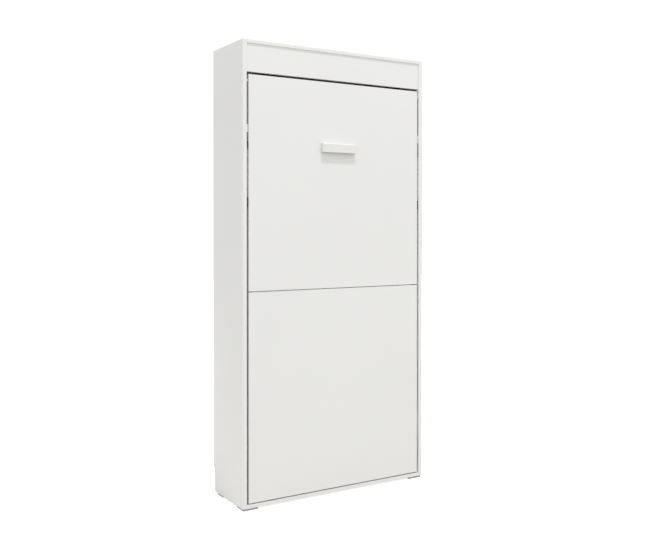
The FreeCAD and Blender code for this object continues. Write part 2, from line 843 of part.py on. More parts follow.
handle_screws = new_body("handle_screws")
heads = new_sketch(handle_screws, "XZ_Plane", "-door_back")
for x in HANDLE_SCREWS:
    draw_circle(heads, x, "handle_screw_height", "handle_screw_head_radius")
pad(handle_screws, heads, "handle_screw_head_height", reverse=True)
shanks = new_sketch(handle_screws, "XZ_Plane", "-door_back")
for x in HANDLE_SCREWS:
    draw_circle(shanks, x, "handle_screw_height", "handle_screw_radius")
pad(handle_screws, shanks, "door_thickness + handle_wall")


# Bowed slats in the open pockets of their holders

holders = new_body("slat_holders")
sketch = new_sketch(holders, "XY_Plane")
slot_low = "slat_seat - slat_slot_play"
slot_high = "slat_seat + slat_thickness + slat_slot_play"
for sign in (-1, 1):
    wall = f"{sign} * box_inner"
    mouth = f"{sign} * (box_inner - holder_depth)"
    slot_end = f"{sign} * (box_inner - holder_wall)"
    draw_outline(sketch, [
        (wall, f"{slot_low} - holder_wall"),
        (mouth, f"{slot_low} - holder_wall"),
        (mouth, slot_low),
        (slot_end, slot_low),
        (slot_end, slot_high),
        (mouth, slot_high),
        (mouth, f"{slot_high} + holder_wall"),
        (wall, f"{slot_high} + holder_wall"),
    ])
first = pad(holders, sketch, "holder_height", middle=True)
repeat_up(holders, [first], "slat_last_height - slat_first_height", SLAT_COUNT)
place(holders, "0", "0", "slat_first_height")


def starts_at(sketch, number, point):
    return sketch.getPoint(number, 1).distanceToPoint(point) < SAME_PLACE


def draw_bow(sketch, seat):
    """An arc from end to end of a slat, risen in the middle, and the number it has in the sketch."""
    low, crown, high = vector("-slat_half", seat), vector("0", f"{seat} + slat_rise"), vector("slat_half", seat)
    arc = Part.Arc(low, crown, high)
    number = sketch.addGeometry(arc)
    ends = (1, 2) if starts_at(sketch, number, low) else (2, 1)
    hold_point(sketch, number, ends[0], ("-slat_half", seat))
    hold_point(sketch, number, ends[1], ("slat_half", seat))
    hold(sketch, "Radius", number, text="slat_bow_radius")
    return number, ends


slats = new_body("slats")
sketch = new_sketch(slats, "XY_Plane")
under, under_ends = draw_bow(sketch, "slat_seat")
over, over_ends = draw_bow(sketch, "slat_seat + slat_thickness")
for index, x in enumerate(("-slat_half", "slat_half")):
    number = sketch.addGeometry(Part.LineSegment(vector(x, "slat_seat"), vector(x, "slat_seat + slat_thickness")))
    sketch.addConstraint(Sketcher.Constraint("Coincident", number, 1, under, under_ends[index]))
    sketch.addConstraint(Sketcher.Constraint("Coincident", number, 2, over, over_ends[index]))
first = pad(slats, sketch, "slat_width", middle=True)
repeat_up(slats, [first], "slat_last_height - slat_first_height", SLAT_COUNT)
place(slats, "0", "0", "slat_first_height")


# Mattress and the straps that hold it and the bedding

mattress = board("mattress", ("-mattress_half", "mattress_half"), ("mattress_front", "mattress_back"),
                 ("mattress_bottom", "mattress_top"))
fillet(mattress, "mattress_edge_radius", lambda edge: along(edge, 2) or lies_at(edge, 1, "mattress_thickness"))

straps = new_body("bedding_straps")
sketch = new_sketch(straps, "XY_Plane")
inner_face = "(strap_outer - strap_thickness)"
inner_back = "(strap_back - strap_thickness)"
draw_outline(sketch, [
    ("-strap_outer - strap_foot", "box_back + soft_gap"),
    (f"-{inner_face}", "box_back + soft_gap"),
    (f"-{inner_face}", inner_back),
    (inner_face, inner_back),
    (inner_face, "box_back + soft_gap"),
    ("strap_outer + strap_foot", "box_back + soft_gap"),
    ("strap_outer + strap_foot", "strap_foot_back"),
    ("strap_outer", "strap_foot_back"),
    ("strap_outer", "strap_back"),
    ("-strap_outer", "strap_back"),
    ("-strap_outer", "strap_foot_back"),
    ("-strap_outer - strap_foot", "strap_foot_back"),
])
pad(straps, sketch, "strap_width", middle=True)
fillet(straps, "mattress_edge_radius", lambda edge: along(edge, 2) and lies_at(edge, 1, inner_back))
fillet(straps, "mattress_edge_radius + strap_thickness",
       lambda edge: along(edge, 2) and lies_at(edge, 1, "strap_back"))
doc.recompute()
copies = feature(straps, "LinearPattern")
copies.TransformMode = "Whole shape"
copies.Direction = (origin_part(straps, "Z_Axis"), [""])
bind(copies, "Length", "strap_high_height - strap_low_height")
copies.Occurrences = 2
straps.Tip = copies
place(straps, "0", "0", "strap_low_height")

buckles = new_body("strap_buckles")
sketch = new_sketch(buckles, "XZ_Plane")
for height in ("0", "strap_high_height - strap_low_height"):
    left = "buckle_offset - buckle_length / 2"
    right = "buckle_offset + buckle_length / 2"
    low = f"{height} - buckle_height / 2"
    high = f"{height} + buckle_height / 2"
    draw_rectangle(sketch, left, right, low, high)
    for a, b in ((f"{left} + buckle_bar", "buckle_offset - buckle_bar / 2"),
                 ("buckle_offset + buckle_bar / 2", f"{right} - buckle_bar")):
        draw_rectangle(sketch, a, b, f"{low} + buckle_bar", f"{high} - buckle_bar")
pad(buckles, sketch, "buckle_thickness", reverse=True)
place(buckles, "0", "strap_back + soft_gap", "strap_low_height")

strap_plates = new_body("strap_plates")
sketch = new_sketch(strap_plates, "XZ_Plane")
for sign in (-1, 1):
    plate_middle = f"{sign} * (strap_outer + strap_foot / 2)"
    for height in ("0", "strap_high_height - strap_low_height"):
        draw_rectangle(sketch, f"{plate_middle} - strap_plate_length / 2", f"{plate_middle} + strap_plate_length / 2",
                       f"{height} - strap_plate_height / 2", f"{height} + strap_plate_height / 2")
pad(strap_plates, sketch, "strap_plate_thickness", reverse=True)
place(strap_plates, "0", "strap_foot_back", "strap_low_height")


# Gas springs: tube hinged on the cabinet, rod that ends at the bed's bracket

SPRING_TOP = ("front + spring_top_depth", "spring_top_height")
SPRING_FOOT = ("front + spring_foot_depth", "spring_foot_height")
SPRING_PLATE_Y = ("-spring_plate_half_width", "spring_plate_half_width")
SPRING_PLATE_Z = ("-spring_plate_half_height", "spring_plate_half_height")
places = middle_screws(SPRING_PLATE_Z)
top_groups = []
foot_groups = []
for side, sign in SIDES:
    pinned_plate(
        f"spring_mount_{side}", -sign, f"{sign} * inner", SPRING_PLATE_Y, SPRING_PLATE_Z, SPRING_TOP,
        "spring_plate_thickness",
        [("spring_pin_collar_radius", "inner - spring_eye_far - spring_side_play"),
         ("spring_pin_radius", "inner - spring_eye_near + spring_pin_overhang")], places)
    top_groups.append((f"{sign} * inner", -sign, "spring_plate_thickness", SPRING_TOP, places))
    pinned_plate(
        f"spring_bracket_{side}", sign, f"{sign} * box_outer", SPRING_PLATE_Y, SPRING_PLATE_Z, SPRING_FOOT,
        "spring_plate_thickness",
        [("spring_foot_boss_radius", "spring_eye_near - box_outer - spring_side_play")], places)
    foot_groups.append((f"{sign} * box_outer", sign, "spring_plate_thickness", SPRING_FOOT, places))
plate_screws("spring_mount_screws", top_groups)
plate_screws("spring_bracket_screws", foot_groups)


def lean(body, sign, centre):
    """Turn a spring part from the vertical onto the line between the two ends."""
    angle = FreeCAD.Units.Quantity(sheet.evalExpression(formula("atan(spring_lean / spring_drop)"))).Value
    centre_point = FreeCAD.Vector(value(f"{sign} * spring_x"), value(centre[0]), value(centre[1]))
    body.Placement = FreeCAD.Placement(centre_point, FreeCAD.Rotation(FreeCAD.Vector(1, 0, 0), -angle))


def spring_eye(body):
    sketch = new_sketch(body, "YZ_Plane")
    draw_circle(sketch, "0", "0", "spring_eye_radius")
    pad(body, sketch, "spring_eye_thickness", middle=True)


for side, sign in SIDES:
    tube = new_body(f"spring_cylinder_{side}")
    neck_start = "spring_pin_radius + spring_tube_wall"
    guide_start = "spring_tube_length - spring_guide_length"
    profile = new_sketch(tube, "XZ_Plane")
    draw_outline(profile, [
        ("0", f"-({neck_start})"),
        ("spring_neck_radius", f"-({neck_start})"),
        ("spring_neck_radius", "-spring_neck_length"),
        ("spring_tube_radius", "-spring_neck_length - (spring_tube_radius - spring_neck_radius)"),
        ("spring_tube_radius", "-(spring_tube_length - spring_tube_chamfer)"),
        ("spring_tube_radius - spring_tube_chamfer", "-spring_tube_length"),
        ("spring_guide_bore", "-spring_tube_length"),
        ("spring_guide_bore", f"-({guide_start})"),
        ("spring_bore_radius", f"-({guide_start})"),
        ("spring_bore_radius", "-spring_tube_head"),
        ("0", "-spring_tube_head"),
    ])
    revolve(tube, profile)
    spring_eye(tube)
    bore = new_sketch(tube, "YZ_Plane")
    draw_circle(bore, "0", "0", "spring_pin_radius + spring_running_play")
    pocket(tube, bore, "spring_eye_thickness + 2 * cut_overrun", middle=True)
    lean(tube, sign, SPRING_TOP)

    rod = new_body(f"spring_rod_{side}")
    profile = new_sketch(rod, "XZ_Plane")
    piston_radius = "spring_bore_radius - spring_piston_play"
    draw_outline(profile, [
        ("0", neck_start),
        ("spring_neck_radius", neck_start),
        ("spring_neck_radius", "spring_neck_length"),
        ("spring_rod_radius", "spring_neck_length"),
        ("spring_rod_radius", "piston_low"),
        (piston_radius, "piston_low"),
        (piston_radius, "piston_low + spring_piston_length"),
        ("0", "piston_low + spring_piston_length"),
    ])
    revolve(rod, profile)
    spring_eye(rod)
    head = new_sketch(rod, "YZ_Plane", f"{sign} * spring_eye_thickness / 2")
    draw_circle(head, "0", "0", "spring_bolt_head_radius")
    pad(rod, head, "spring_bolt_head_height", reverse=sign < 0)
    lean(rod, sign, SPRING_FOOT)


# Legs that hang in the side gaps and swing down as the bed opens

LEG = ("leg_y", "leg_pivot_height")
LEG_PLATE_Y = ("-leg_plate_front", "leg_plate_back")
LEG_PLATE_Z = ("-leg_plate_half_height", "leg_plate_half_height")
places = middle_screws(LEG_PLATE_Z)
leg_groups = []
for side, sign in SIDES:
    pinned_plate(
        f"leg_mount_{side}", sign, f"{sign} * box_outer", LEG_PLATE_Y, LEG_PLATE_Z, LEG, "leg_plate_thickness",
        [("leg_collar_radius", "leg_bush_near - box_outer - spring_side_play"),
         ("leg_pin_radius", "leg_far + leg_pin_overhang - box_outer")], places)
    leg_groups.append((f"{sign} * box_outer", sign, "leg_plate_thickness", LEG, places))

    bar = new_body(f"leg_{side}")
    sketch = new_sketch(bar, "YZ_Plane")
    draw_rectangle(sketch, "-leg_width / 2", "leg_width / 2", "-leg_bar_length", "0")
    pad(bar, sketch, "leg_thickness", reverse=sign < 0)
    head = new_sketch(bar, "YZ_Plane")
    draw_circle(head, "0", "0", "leg_width / 2")
    pad(bar, head, "leg_thickness", reverse=sign < 0)
    bore = new_sketch(bar, "YZ_Plane")
    draw_circle(bore, "0", "0", "leg_bush_radius + leg_foot_play")
    pocket(bar, bore, "2 * (leg_thickness + cut_overrun)", middle=True)
    place(bar, f"{sign} * leg_near", *LEG)

    bush = new_body(f"leg_bush_{side}")
    for radius, near, far in (("leg_bush_flange_radius", "leg_bush_near", "leg_near"),
                              ("leg_bush_radius", "leg_near", "leg_far")):
        sketch = new_sketch(bush, "YZ_Plane", f"{sign} * ({near})")
        draw_circle(sketch, "0", "0", radius)
        pad(bush, sketch, f"{far} - {near}", reverse=sign < 0)
    bore = new_sketch(bush, "YZ_Plane", f"{sign} * leg_near")
    draw_circle(bore, "0", "0", "leg_pin_radius + spring_running_play")
    pocket(bush, bore, "2 * (leg_thickness + leg_bush_flange + cut_overrun)", middle=True)
    place(bush, "0", *LEG)

    foot = new_body(f"leg_foot_{side}")
    near, far = span(sign, "leg_near - leg_foot_wall", "leg_far + leg_foot_wall")
    sketch = new_sketch(foot, "XY_Plane")
    draw_rectangle(sketch, near, far, "-leg_foot_width / 2", "leg_foot_width / 2")
    pad(foot, sketch, "leg_foot_height")
    fillet(foot, "leg_foot_rounding", lambda edge: along(edge, 0) or along(edge, 2))
    socket = new_sketch(foot, "XY_Plane", "leg_foot_sole")
    near, far = span(sign, "leg_near - leg_foot_play", "leg_far + leg_foot_play")
    draw_rectangle(socket, near, far, "-leg_width / 2 - leg_foot_play", "leg_width / 2 + leg_foot_play")
    pocket(foot, socket, "leg_foot_height", reverse=True)
    place(foot, "0", LEG[0], f"{LEG[1]} - leg_length")
plate_screws("leg_mount_screws", leg_groups)


# Pads that centre the door in the opening

def guide_pads(name, lift, height):
    body = new_body(name)
    for side, sign in SIDES:
        sketch = new_sketch(body, "XY_Plane")
        near, far = span(sign, "door_half + guide_play", "inner")
        draw_rectangle(sketch, near, far, "0", "guide_depth")
        pad(body, sketch, height)
    place(body, "0", "front + guide_front_inset", lift)


guide_pads("guide_pads", "door_top - guide_drop", "guide_height")
guide_pads("top_guide_pads", "door_top - top_guide_drop", "top_guide_height")


# Stops behind the fascia that the closed door leans on

stops = new_body("stop_brackets")
buffers = new_body("stop_buffers")
plate_sketch = new_sketch(stops, "XZ_Plane")
buffer_sketch = new_sketch(buffers, "XZ_Plane")
for side, sign in SIDES:
    near, far = span(sign, "box_outer + stop_plate_inset", "box_outer + stop_plate_inset + stop_plate_width")
    plate_low = "-door_top_gap - stop_plate_drop"
    draw_rectangle(plate_sketch, near, far, plate_low, f"{plate_low} + stop_plate_height")
    draw_circle(buffer_sketch, f"{sign} * (box_outer + stop_plate_inset + stop_plate_width / 2)",
                "-door_top_gap - stop_buffer_drop - stop_buffer_radius", "stop_buffer_radius")
pad(stops, plate_sketch, "stop_plate_thickness", reverse=True)
place(stops, "0", "fascia_back", "fascia_bottom")
pad(buffers, buffer_sketch, "fascia_back - door_back - stop_gap")
place(buffers, "0", "fascia_back", "fascia_bottom")


# Check the model, then write one file for each piece

doc.recompute()
for thing in doc.Objects:
    if "Invalid" in thing.State or "Error" in thing.State:
        raise ValueError(f"{thing.Name} failed")
for body in parts:
    if body.Shape.isNull() or not body.Shape.isValid():
        raise ValueError(f"{body.Label} has no sound shape")
os.makedirs("parts", exist_ok=True)
for body in parts:
    body.Shape.exportStep(f"parts/{body.Label}.step")
    print(f"{body.Label}: {len(body.Shape.Solids)} solids, {body.Shape.Volume:.0f} mm3")
print(f"{len(parts)} pieces written")
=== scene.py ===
"""A wall bed, upright and closed, in a white cabinet that stands on the floor."""

import math

import bmesh
import bpy
import numpy as np
from mathutils import Matrix, Vector


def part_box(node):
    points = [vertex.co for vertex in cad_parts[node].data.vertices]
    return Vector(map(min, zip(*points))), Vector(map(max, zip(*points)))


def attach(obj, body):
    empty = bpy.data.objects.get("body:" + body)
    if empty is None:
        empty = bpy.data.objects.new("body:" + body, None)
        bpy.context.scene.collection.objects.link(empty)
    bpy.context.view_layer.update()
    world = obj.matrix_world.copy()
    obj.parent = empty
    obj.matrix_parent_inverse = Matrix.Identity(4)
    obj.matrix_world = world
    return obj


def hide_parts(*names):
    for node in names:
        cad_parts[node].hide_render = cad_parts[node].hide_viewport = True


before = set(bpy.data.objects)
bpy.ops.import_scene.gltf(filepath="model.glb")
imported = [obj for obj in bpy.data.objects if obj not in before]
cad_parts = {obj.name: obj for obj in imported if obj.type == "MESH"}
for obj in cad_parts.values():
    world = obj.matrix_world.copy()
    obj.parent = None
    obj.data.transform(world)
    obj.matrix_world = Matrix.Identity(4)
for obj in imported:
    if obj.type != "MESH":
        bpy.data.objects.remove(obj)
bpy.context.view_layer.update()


# Side panels.
# Chipboard, 22 mm thick, with a smooth white laminate pressed on both faces and a strip of the same
# white glued round the edges. The laminate is satin, with the faint unevenness of a pressed sheet.

LAMINATE_WHITE = (0.800, 0.800, 0.790)
LAMINATE_SHADE = (0.787, 0.787, 0.778)
NOISE_SPAN = (0.3, 0.7)  # where most values of a noise lie
MIX_FIRST, MIX_SECOND, MIX_RESULT = 6, 7, 2  # the colour sockets of a Mix node


def new_group(name, inputs, outputs):
    """A shader group with float or colour sockets, and its own input and output nodes."""
    group = bpy.data.node_groups.new(name, "ShaderNodeTree")
    for direction, sockets in (("INPUT", inputs), ("OUTPUT", outputs)):
        for label, kind in sockets:
            group.interface.new_socket(name=label, in_out=direction, socket_type=kind)
    return group, group.nodes.new("NodeGroupInput"), group.nodes.new("NodeGroupOutput")


def feed(tree, value, socket):
    """Link another node's output to a socket, or set a plain value on it."""
    if isinstance(value, bpy.types.NodeSocket):
        tree.links.new(value, socket)
    else:
        socket.default_value = value


def noise(tree, vector, scale, detail=2.0, roughness=0.5):
    node = tree.nodes.new("ShaderNodeTexNoise")
    feed(tree, scale, node.inputs["Scale"])
    node.inputs["Detail"].default_value = detail
    node.inputs["Roughness"].default_value = roughness
    tree.links.new(vector, node.inputs["Vector"])
    return node.outputs["Fac"]


def remap(tree, fac, onto=(0.0, 1.0), span=(0.0, 1.0)):
    """A value stretched from its own span onto another, and held at the ends."""
    node = tree.nodes.new("ShaderNodeMapRange")
    for label, value in zip(("From Min", "From Max", "To Min", "To Max"), (*span, *onto)):
        feed(tree, value, node.inputs[label])
    tree.links.new(fac, node.inputs["Value"])
    return node.outputs["Result"]


def mix_colours(tree, fac, first, second):
    node = tree.nodes.new("ShaderNodeMix")
    node.data_type = "RGBA"
    tree.links.new(fac, node.inputs["Factor"])
    for number, colour in ((MIX_FIRST, first), (MIX_SECOND, second)):
        feed(tree, (*colour, 1.0) if isinstance(colour, tuple) else colour, node.inputs[number])
    return node.outputs[MIX_RESULT]


def object_coordinates(tree):
    return tree.nodes.new("ShaderNodeTexCoord").outputs["Object"]


def make_surface_group():
    """Two colours in soft clouds, a roughness that wanders and a fine grained height."""
    colour, value = "NodeSocketColor", "NodeSocketFloat"
    group, given, result = new_group(
        "soft_clouds",
        [("Light", colour), ("Dark", colour), ("Cloud Scale", value), ("Grain Scale", value),
         ("Smooth", value), ("Rough", value)],
        [("Color", colour), ("Roughness", value), ("Height", value)])
    asked = given.outputs
    place = object_coordinates(group)
    clouds = remap(group, noise(group, place, asked["Cloud Scale"], detail=3.0), span=NOISE_SPAN)
    results = {"Color": mix_colours(group, clouds, asked["Light"], asked["Dark"]),
               "Roughness": remap(group, clouds, onto=(asked["Smooth"], asked["Rough"])),
               "Height": noise(group, place, asked["Grain Scale"])}
    for label, socket in results.items():
        group.links.new(socket, result.inputs[label])
    return group


soft_clouds = make_surface_group()


def new_material(name):
    """An empty material: its tree and its one shader, which goes straight to the output."""
    material = bpy.data.materials.new(name)
    material.use_nodes = True
    return material, material.node_tree, material.node_tree.nodes["Principled BSDF"]


def bump(tree, shader, height, distance):
    node = tree.nodes.new("ShaderNodeBump")
    node.inputs["Distance"].default_value = distance
    tree.links.new(height, node.inputs["Height"])
    tree.links.new(node.outputs["Normal"], shader.inputs["Normal"])


def clouded_material(name, light, dark, *, cloud_scale, grain_scale, grain_height, roughness,
                     **fixed):
    """A plain finish made of the clouds group, with any other shader socket set straight on it."""
    material, tree, shader = new_material(name)
    clouds = tree.nodes.new("ShaderNodeGroup")
    clouds.node_tree = soft_clouds
    asked = {"Light": (*light, 1.0), "Dark": (*dark, 1.0), "Cloud Scale": cloud_scale,
             "Grain Scale": grain_scale, "Smooth": roughness[0], "Rough": roughness[1]}
    for label, value in asked.items():
        clouds.inputs[label].default_value = value
    tree.links.new(clouds.outputs["Color"], shader.inputs["Base Color"])
    tree.links.new(clouds.outputs["Roughness"], shader.inputs["Roughness"])
    bump(tree, shader, clouds.outputs["Height"], grain_height)
    for label, value in fixed.items():
        shader.inputs[label.replace("_", " ")].default_value = value
    return material


def finish_with(material, *names):
    """Give CAD nodes a material."""
    for name in names:
        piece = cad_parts[name]
        piece.data.materials.clear()
        piece.data.materials.append(material)


white_laminate = clouded_material(
    "white_laminate", LAMINATE_WHITE, LAMINATE_SHADE, cloud_scale=1.7, grain_scale=420.0,
    grain_height=0.00002, roughness=(0.36, 0.44))
finish_with(white_laminate, "side_panel_left", "side_panel_right")


# Top and bottom panels, fascia and wall rails.
# The same white board in 16 and 18 mm, cut square and pulled tight between the sides by cam
# fittings. The fascia stands a little behind the front, and the rails take the screws to the wall.

finish_with(
    white_laminate, "top_panel", "bottom_panel", "fascia", "wall_rail_top", "wall_rail_bottom")


# Back boards and their joining strip.
# Two thin fibreboards slid into grooves, lacquered white inside and left brown and fibrous on the
# wall side. An H-shaped strip of white plastic holds them together across the middle.

BACK_WHITE = (0.760, 0.758, 0.742)
BACK_WHITE_SHADE = (0.735, 0.732, 0.712)
BACK_BROWN = (0.330, 0.205, 0.115)
BACK_BROWN_DARK = (0.235, 0.140, 0.075)
STRIP_WHITE = (0.780, 0.780, 0.770)
STRIP_SHADE = (0.765, 0.765, 0.755)


def faces_along(tree, axis):
    """How far the surface faces along an axis of the object, from its own normal."""
    parts = tree.nodes.new("ShaderNodeSeparateXYZ")
    tree.links.new(tree.nodes.new("ShaderNodeTexCoord").outputs["Normal"], parts.inputs["Vector"])
    return parts.outputs[axis]


def calculate(tree, operation, *values):
    """One step of arithmetic on other nodes' outputs and plain numbers."""
    node = tree.nodes.new("ShaderNodeMath")
    node.operation = operation
    for socket, value in zip(node.inputs, values):
        feed(tree, value, socket)
    return node.outputs["Value"]


def make_back_board_material():
    """White towards the room, and brown hardboard towards the wall."""
    material, tree, shader = new_material("back_board")
    place = object_coordinates(tree)
    fibres = noise(tree, place, scale=240.0, detail=5.0, roughness=0.7)
    clouds = noise(tree, place, scale=6.0, detail=4.0)
    white = mix_colours(tree, clouds, BACK_WHITE, BACK_WHITE_SHADE)
    brown = mix_colours(tree, remap(tree, fibres, span=NOISE_SPAN), BACK_BROWN_DARK, BACK_BROWN)
    wall_side = remap(tree, faces_along(tree, "Y"), span=(0.4, 0.6))
    tree.links.new(mix_colours(tree, wall_side, white, brown), shader.inputs["Base Color"])
    tree.links.new(remap(tree, clouds, onto=(0.55, 0.75)), shader.inputs["Roughness"])
    bump(tree, shader, calculate(tree, "MULTIPLY", fibres, wall_side), distance=0.00025)
    return material


finish_with(make_back_board_material(), "back_panel_upper", "back_panel_lower")
moulded_white = clouded_material(
    "moulded_white", STRIP_WHITE, STRIP_SHADE, cloud_scale=9.0, grain_scale=900.0,
    grain_height=0.00003, roughness=(0.42, 0.52))
finish_with(moulded_white, "back_panel_joiner")


# Cam fittings.
# Zinc castings, 15 mm across, dropped into blind holes and turned with a cross driver until they
# draw the bolt of the next board in. The face has a rounded rim, a cross recess and an arrow.

CAM_RIM = 0.0006
CAM_CROSS_REACH = 0.0042
CAM_CROSS_WIDTH = 0.0016
CAM_CROSS_DEPTH = 0.0040
CAM_ARROW_START = 0.0048
CAM_ARROW_END = 0.0064
CAM_ARROW_HALF = 0.0012
CAM_ARROW_HEIGHT = 0.0002
CROSS_FLOOR_REACH = 0.45  # a cross recess narrows to these shares of its mouth
CROSS_FLOOR_WIDTH = 0.80
CAST_ZINC = (0.540, 0.550, 0.560)
CAST_ZINC_DARK = (0.420, 0.430, 0.445)
RING_POINTS = 32
WELD_DIGITS = 5  # corner points that agree to a hundredth of a millimetre are one


def solids_of(node):
    """The corner points of each separate solid in a CAD node, as arrays."""
    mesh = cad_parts[node].data
    points = np.empty(len(mesh.vertices) * 3)
    mesh.vertices.foreach_get("co", points)
    points = np.round(points.reshape(-1, 3), WELD_DIGITS)
    keys, numbers = np.unique(points, axis=0, return_inverse=True)
    numbers = numbers.reshape(-1)
    leader = list(range(len(keys)))

    def find(number):
        while leader[number] != number:
            leader[number] = leader[leader[number]]
            number = leader[number]
        return number

    for face in mesh.polygons:
        first, *rest = [find(int(numbers[corner])) for corner in face.vertices]
        for other in rest:
            leader[find(other)] = find(first)
    groups = {}
    for number, key in enumerate(keys):
        groups.setdefault(find(number), []).append(key)
    return [np.array(groups[number]) for number in sorted(groups)]


def add_ring(bm, points):
    return [bm.verts.new(point) for point in points]


def circle(radius, height):
    turn = 2 * math.pi / RING_POINTS
    return [(radius * math.cos(turn * i), radius * math.sin(turn * i), height)
            for i in range(RING_POINTS)]


def skirt(bm, low, high):
    """Faces between two rings with as many points."""
    for i, point in enumerate(low):
        following = (i + 1) % len(low)
        bm.faces.new((point, low[following], high[following], high[i]))


def cross_outline(reach, half_width, height):
    outline = []
    for quarter in range(4):
        angle = quarter * math.pi / 2
        for x, y in ((reach, -half_width), (reach, half_width), (half_width, half_width)):
            outline.append((x * math.cos(angle) - y * math.sin(angle),
                            x * math.sin(angle) + y * math.cos(angle), height))
    return outline


def add_cross_face(bm, rim, height, reach, width, depth):
    """A flat face inside the rim with a cross recess that narrows as it goes down."""
    mouth = add_ring(bm, cross_outline(reach, width / 2, height))
    floor = add_ring(bm, cross_outline(
        reach * CROSS_FLOOR_REACH, width / 2 * CROSS_FLOOR_WIDTH, height - depth))
    edges = []
    for ring in (rim, mouth):
        for i, point in enumerate(ring):
            following = ring[(i + 1) % len(ring)]
            edges.append(bm.edges.get((point, following)) or bm.edges.new((point, following)))
    bmesh.ops.triangle_fill(bm, edges=edges, use_beauty=True)
    skirt(bm, floor, mouth)
    bm.faces.new(floor)


def piece_from(bm, name, body, material, smooth_angle):
    """Turn a bmesh into a finished piece on a body, with edges sharper than the angle kept."""
    bmesh.ops.recalc_face_normals(bm, faces=bm.faces)
    mesh = bpy.data.meshes.new(name)
    bm.to_mesh(mesh)
    bm.free()
    piece = bpy.data.objects.new(name, mesh)
    bpy.context.scene.collection.objects.link(piece)
    mesh.materials.append(material)
    mesh.shade_smooth()
    mesh.set_sharp_from_angle(angle=math.radians(smooth_angle))
    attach(piece, body)
    return piece


def stand_on(direction, foot):
    """A matrix that takes local +Z to a direction and the origin to a foot point."""
    turn = Vector((0, 0, 1)).rotation_difference(Vector(direction)).to_matrix().to_4x4()
    return Matrix.Translation(Vector(foot)) @ turn


def stamp(bm, shape, matrix):
    """Copy a small finished bmesh into a larger one."""
    copy = bpy.data.meshes.new("stamp")
    shape.to_mesh(copy)
    copy.transform(matrix)
    bm.from_mesh(copy)
    bpy.data.meshes.remove(copy)


def make_cam(radius, depth):
    """A cam that looks up, its face on the level of zero."""
    bm = bmesh.new()
    low = add_ring(bm, circle(radius, -depth))
    shoulder = add_ring(bm, circle(radius, -CAM_RIM))
    rim = add_ring(bm, circle(radius - CAM_RIM, 0))
    skirt(bm, low, shoulder)
    skirt(bm, shoulder, rim)
    bm.faces.new(reversed(low))
    add_cross_face(bm, rim, 0, CAM_CROSS_REACH, CAM_CROSS_WIDTH, CAM_CROSS_DEPTH)
    arrow = ((CAM_ARROW_END, 0), (CAM_ARROW_START, CAM_ARROW_HALF),
             (CAM_ARROW_START, -CAM_ARROW_HALF))
    foot = add_ring(bm, [(x, y, 0) for x, y in arrow])
    crown = add_ring(bm, [(x, y, CAM_ARROW_HEIGHT) for x, y in arrow])
    skirt(bm, foot, crown)
    bm.faces.new(crown)
    return bm


cast_zinc = clouded_material(
    "cast_zinc", CAST_ZINC, CAST_ZINC_DARK, cloud_scale=160.0, grain_scale=2200.0,
    grain_height=0.00006, roughness=(0.34, 0.50), Metallic=1.0)
cams = bmesh.new()
for solid in solids_of("cam_locks"):
    low, high = Vector(solid.min(0)), Vector(solid.max(0))
    size = high - low
    centre = (low + high) / 2
    if size.z < size.x:
        direction = (0, 0, -1)
        foot = (centre.x, centre.y, low.z)
        cam = make_cam(size.x / 2, size.z)
    else:
        outward = 1 if centre.y < 0 else -1
        direction = (0, outward, 0)
        foot = (centre.x, high.y if outward > 0 else low.y, centre.z)
        cam = make_cam(size.x / 2, size.y)
    stamp(cams, cam, stand_on(direction, foot))
    cam.free()
cam_locks = piece_from(cams, "cam_locks_cast", "cabinet", cast_zinc, smooth_angle=40)
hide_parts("cam_locks")


# Foot pads.
# Plastic blocks nailed under the corners, which keep the boards off the floor. The rear ones are
# black. The front ones are grey, and their faces that do not look forward are black as painted
# shade. All have a fine spark texture.

PAD_BLACK = (0.055, 0.055, 0.057)
PAD_BLACK_SHADE = (0.040, 0.040, 0.042)
PAD_FRONT_GREY = (0.380, 0.380, 0.386)
PAD_FRONT_GREY_SHADE = (0.330, 0.330, 0.336)
SPARK_TEXTURE = {"cloud_scale": 24.0, "grain_scale": 1500.0, "grain_height": 0.00008,
                 "roughness": (0.45, 0.60)}


def make_front_pad_material():
    """Grey where the face looks to the front, and black elsewhere as painted shade."""
    material = clouded_material("front_pad_painted_side_shade", PAD_FRONT_GREY, PAD_FRONT_GREY_SHADE, **SPARK_TEXTURE)
    tree = material.node_tree
    base = tree.nodes["Principled BSDF"].inputs["Base Color"]
    grey = base.links[0].from_socket
    # Faces that do not look forward get black: painted shade on the pad's sides.
    front_not_painted_shade = remap(tree, faces_along(tree, "Y"), onto=(1.0, 0.0), span=(-0.8, -0.6))
    tree.links.new(mix_colours(tree, front_not_painted_shade, PAD_BLACK, grey), base)
    return material


finish_with(make_front_pad_material(), "foot_pads_front")
finish_with(
    clouded_material("pad_black", PAD_BLACK, PAD_BLACK_SHADE, **SPARK_TEXTURE), "foot_pads_rear")


# Main pivots.
# Punched steel plates, bright zinc plated, with turned pins pressed in. The plates on the side
# panels carry the bed through its own arms, and a tan bush keeps steel off steel.

ZINC = (0.600, 0.610, 0.620)
ZINC_BLUE = (0.500, 0.525, 0.560)
ZINC_YELLOW = (0.640, 0.620, 0.560)
ZINC_STRETCH = (4.0, 90.0, 4.0)
BUSH_TAN = (0.560, 0.500, 0.380)
BUSH_TAN_DARK = (0.500, 0.440, 0.330)


def stretched(tree, vector, scale):
    """Coordinates that draw a pattern out along the directions whose scale is small."""
    node = tree.nodes.new("ShaderNodeMapping")
    node.inputs["Scale"].default_value = scale
    tree.links.new(vector, node.inputs["Vector"])
    return node.outputs["Vector"]


